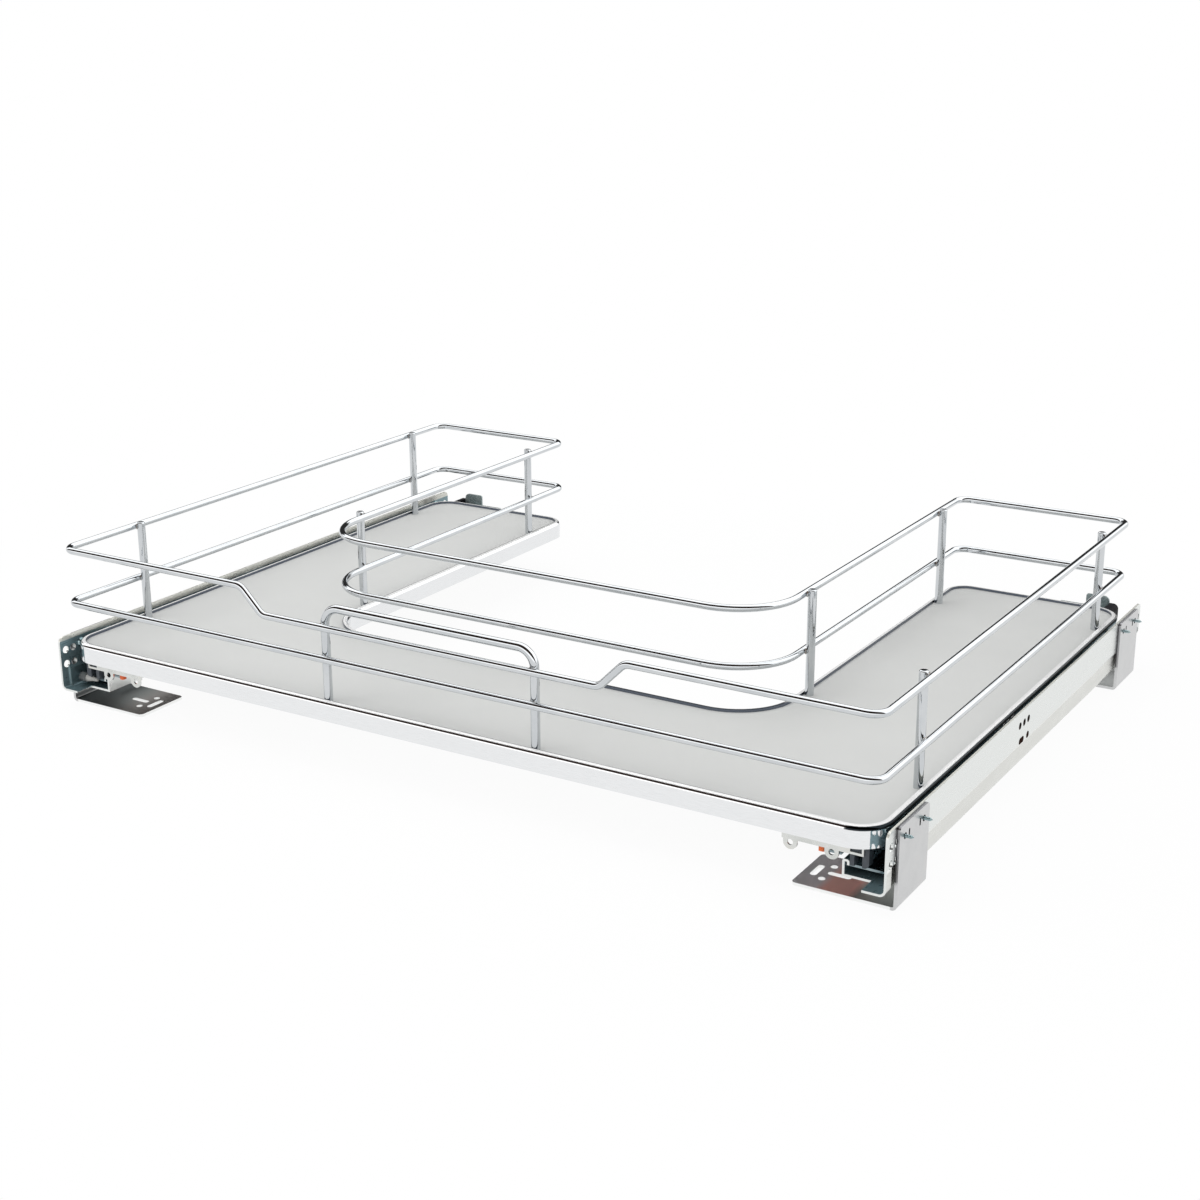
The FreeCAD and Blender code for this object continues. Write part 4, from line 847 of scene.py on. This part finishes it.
# Floor that keeps a soft shadow near the object and fades to white round it
floorLook = {
    "half": 6.0, "lowered": 0.0004, "colour": (0.92, 0.92, 0.92), "roughness": 0.9,
    "glow": (0.95, 1.0),                     # near the object, and away from it
    "reach": (0.46, 0.40), "fade": (0.95, 1.5),
}


def backgroundRays(tree):
    # 1 for what the camera, a mirror finish or glass sees directly
    path = addNode(tree, "ShaderNodeLightPath")
    seen = mathNode(tree, "ADD", path.outputs["Is Camera Ray"], path.outputs["Is Glossy Ray"])
    return mathNode(tree, "ADD", seen, path.outputs["Is Transmission Ray"], clamp=True)


def layFloor(look):
    mesh = bmesh.new()
    half = look["half"]
    mesh.faces.new([mesh.verts.new((x, y, 0)) for x, y in
                    ((-half, -half), (half, -half), (half, half), (-half, half))])
    data = bpy.data.meshes.new("studio_floor")
    mesh.to_mesh(data)
    mesh.free()
    floor = bpy.data.objects.new("studio_floor", data)
    scene.collection.objects.link(floor)
    material, tree, shader = startFinish("studio_paper", 0.0, look["roughness"],
                                         Specular_IOR_Level=0.0)
    shader.inputs["Base Color"].default_value = (*look["colour"], 1)
    glow = addNode(tree, "ShaderNodeEmission", {"Color": (1, 1, 1, 1), "Strength": 1.0})
    spot = spotOf(tree)
    squares = [mathNode(tree, "POWER", mathNode(tree, "DIVIDE", spot[axis], reach), 2)
               for axis, reach in enumerate(look["reach"])]
    away = mathNode(tree, "SQRT", mathNode(tree, "ADD", *squares))
    share = smoothStep(tree, away, *look["fade"], *look["glow"])
    mix = addNode(tree, "ShaderNodeMixShader")
    tree.links.new(product(tree, backgroundRays(tree), share), mix.inputs["Fac"])
    tree.links.new(shader.outputs["BSDF"], mix.inputs[1])
    tree.links.new(glow.outputs["Emission"], mix.inputs[2])
    tree.links.new(mix.outputs["Shader"], tree.nodes["Material Output"].inputs["Surface"])
    data.materials.append(material)
    floor.location = (0, 0, -look["lowered"])


layFloor(floorLook)


# What mirror finishes see: a bright tent, a dark gap overhead, and the dark room behind
studioLook = {
    "ambient": 0.62,                         # even light on the object
    "high": 1.75, "low": 1.05, "rise": (0.06, 0.24),
    "gapTilt": 0.585, "gapWidth": 0.47, "gapBlur": 0.05, "gapDark": 0.02,
    "gapTint": (1.0, 0.74, 0.62),
    "roomTurn": -0.62, "roomWidth": 0.70, "roomBlur": 0.10, "roomDark": 0.02,
    "roomBottom": 0.02, "roomTop": 0.42, "roomEdge": 0.02,
}


def lightStudio(look):
    world = bpy.data.worlds.new("studio")
    scene.world = world
    world.use_nodes = True
    tree = world.node_tree
    coords = addNode(tree, "ShaderNodeTexCoord")
    split = addNode(tree, "ShaderNodeSeparateXYZ")
    tree.links.new(coords.outputs["Generated"], split.inputs["Vector"])
    x, y, z = split.outputs
    tent = smoothStep(tree, z, *look["rise"], look["low"], look["high"])
    tilt = mathNode(tree, "ARCTAN2", product(tree, y, -1), z)
    away = absolute(tree, mathNode(tree, "SUBTRACT", tilt, look["gapTilt"]))
    gap = smoothStep(tree, away, *nearTo(look["gapWidth"], look["gapBlur"]),
                     look["gapDark"], 1.0)
    turn = mathNode(tree, "ARCTAN2", x, y)
    aside = absolute(tree, mathNode(tree, "SUBTRACT", turn, look["roomTurn"]))
    room = smoothStep(tree, aside, *nearTo(look["roomWidth"], look["roomBlur"]))
    for outside in (smoothStep(tree, z, *nearTo(look["roomTop"], look["roomEdge"])),
                    fadeOut(tree, z, *nearTo(look["roomBottom"], look["roomEdge"])),
                    look["roomDark"]):
        room = mathNode(tree, "MAXIMUM", room, outside)
    path = addNode(tree, "ShaderNodeLightPath")
    mirrored = mathNode(tree, "ADD", path.outputs["Is Glossy Ray"],
                        path.outputs["Is Transmission Ray"], clamp=True)
    camera = path.outputs["Is Camera Ray"]
    # mirror finishes see the tent, everything else gets even light, and the camera sees white
    seen = mathNode(tree, "ADD", product(tree, mirrored, tent, gap, room),
                    product(tree, reverse(tree, mirrored), look["ambient"]))
    strength = mathNode(tree, "ADD", camera, product(tree, reverse(tree, camera), seen))
    warm = product(tree, mirrored, reverse(tree, gap))
    background = tree.nodes["Background"]
    tree.links.new(mixColours(tree, warm, (1, 1, 1), look["gapTint"]),
                   background.inputs["Color"])
    tree.links.new(strength, background.inputs["Strength"])


lightStudio(studioLook)


# Soft boxes: place, aim, size in metres and power in watts
lampLook = {
    "overhead": {"place": (-0.35, -0.35, 2.1), "aim": (0, 0, 0), "size": (2.4, 1.8),
                 "power": 24},
    "front_left": {"place": (-1.7, -1.6, 1.1), "aim": (0, 0, 0.05), "size": (1.2, 1.2),
                   "power": 10},
}


def hangLamp(name, look):
    data = bpy.data.lights.new(name, "AREA")
    data.shape = "RECTANGLE"
    data.size, data.size_y = look["size"]
    data.energy = look["power"]
    lamp = bpy.data.objects.new(name, data)
    scene.collection.objects.link(lamp)
    lamp.location = look["place"]
    aim = Vector(look["aim"]) - Vector(look["place"])
    lamp.rotation_mode = "QUATERNION"
    lamp.rotation_quaternion = aim.to_track_quat("-Z", "Y")
    lamp.visible_glossy = False     # mirror finishes see the tent instead


for lampName, lampSettings in lampLook.items():
    hangLamp(lampName, lampSettings)
scene.view_settings.view_transform = "Standard"
print("floor, studio and lamps")
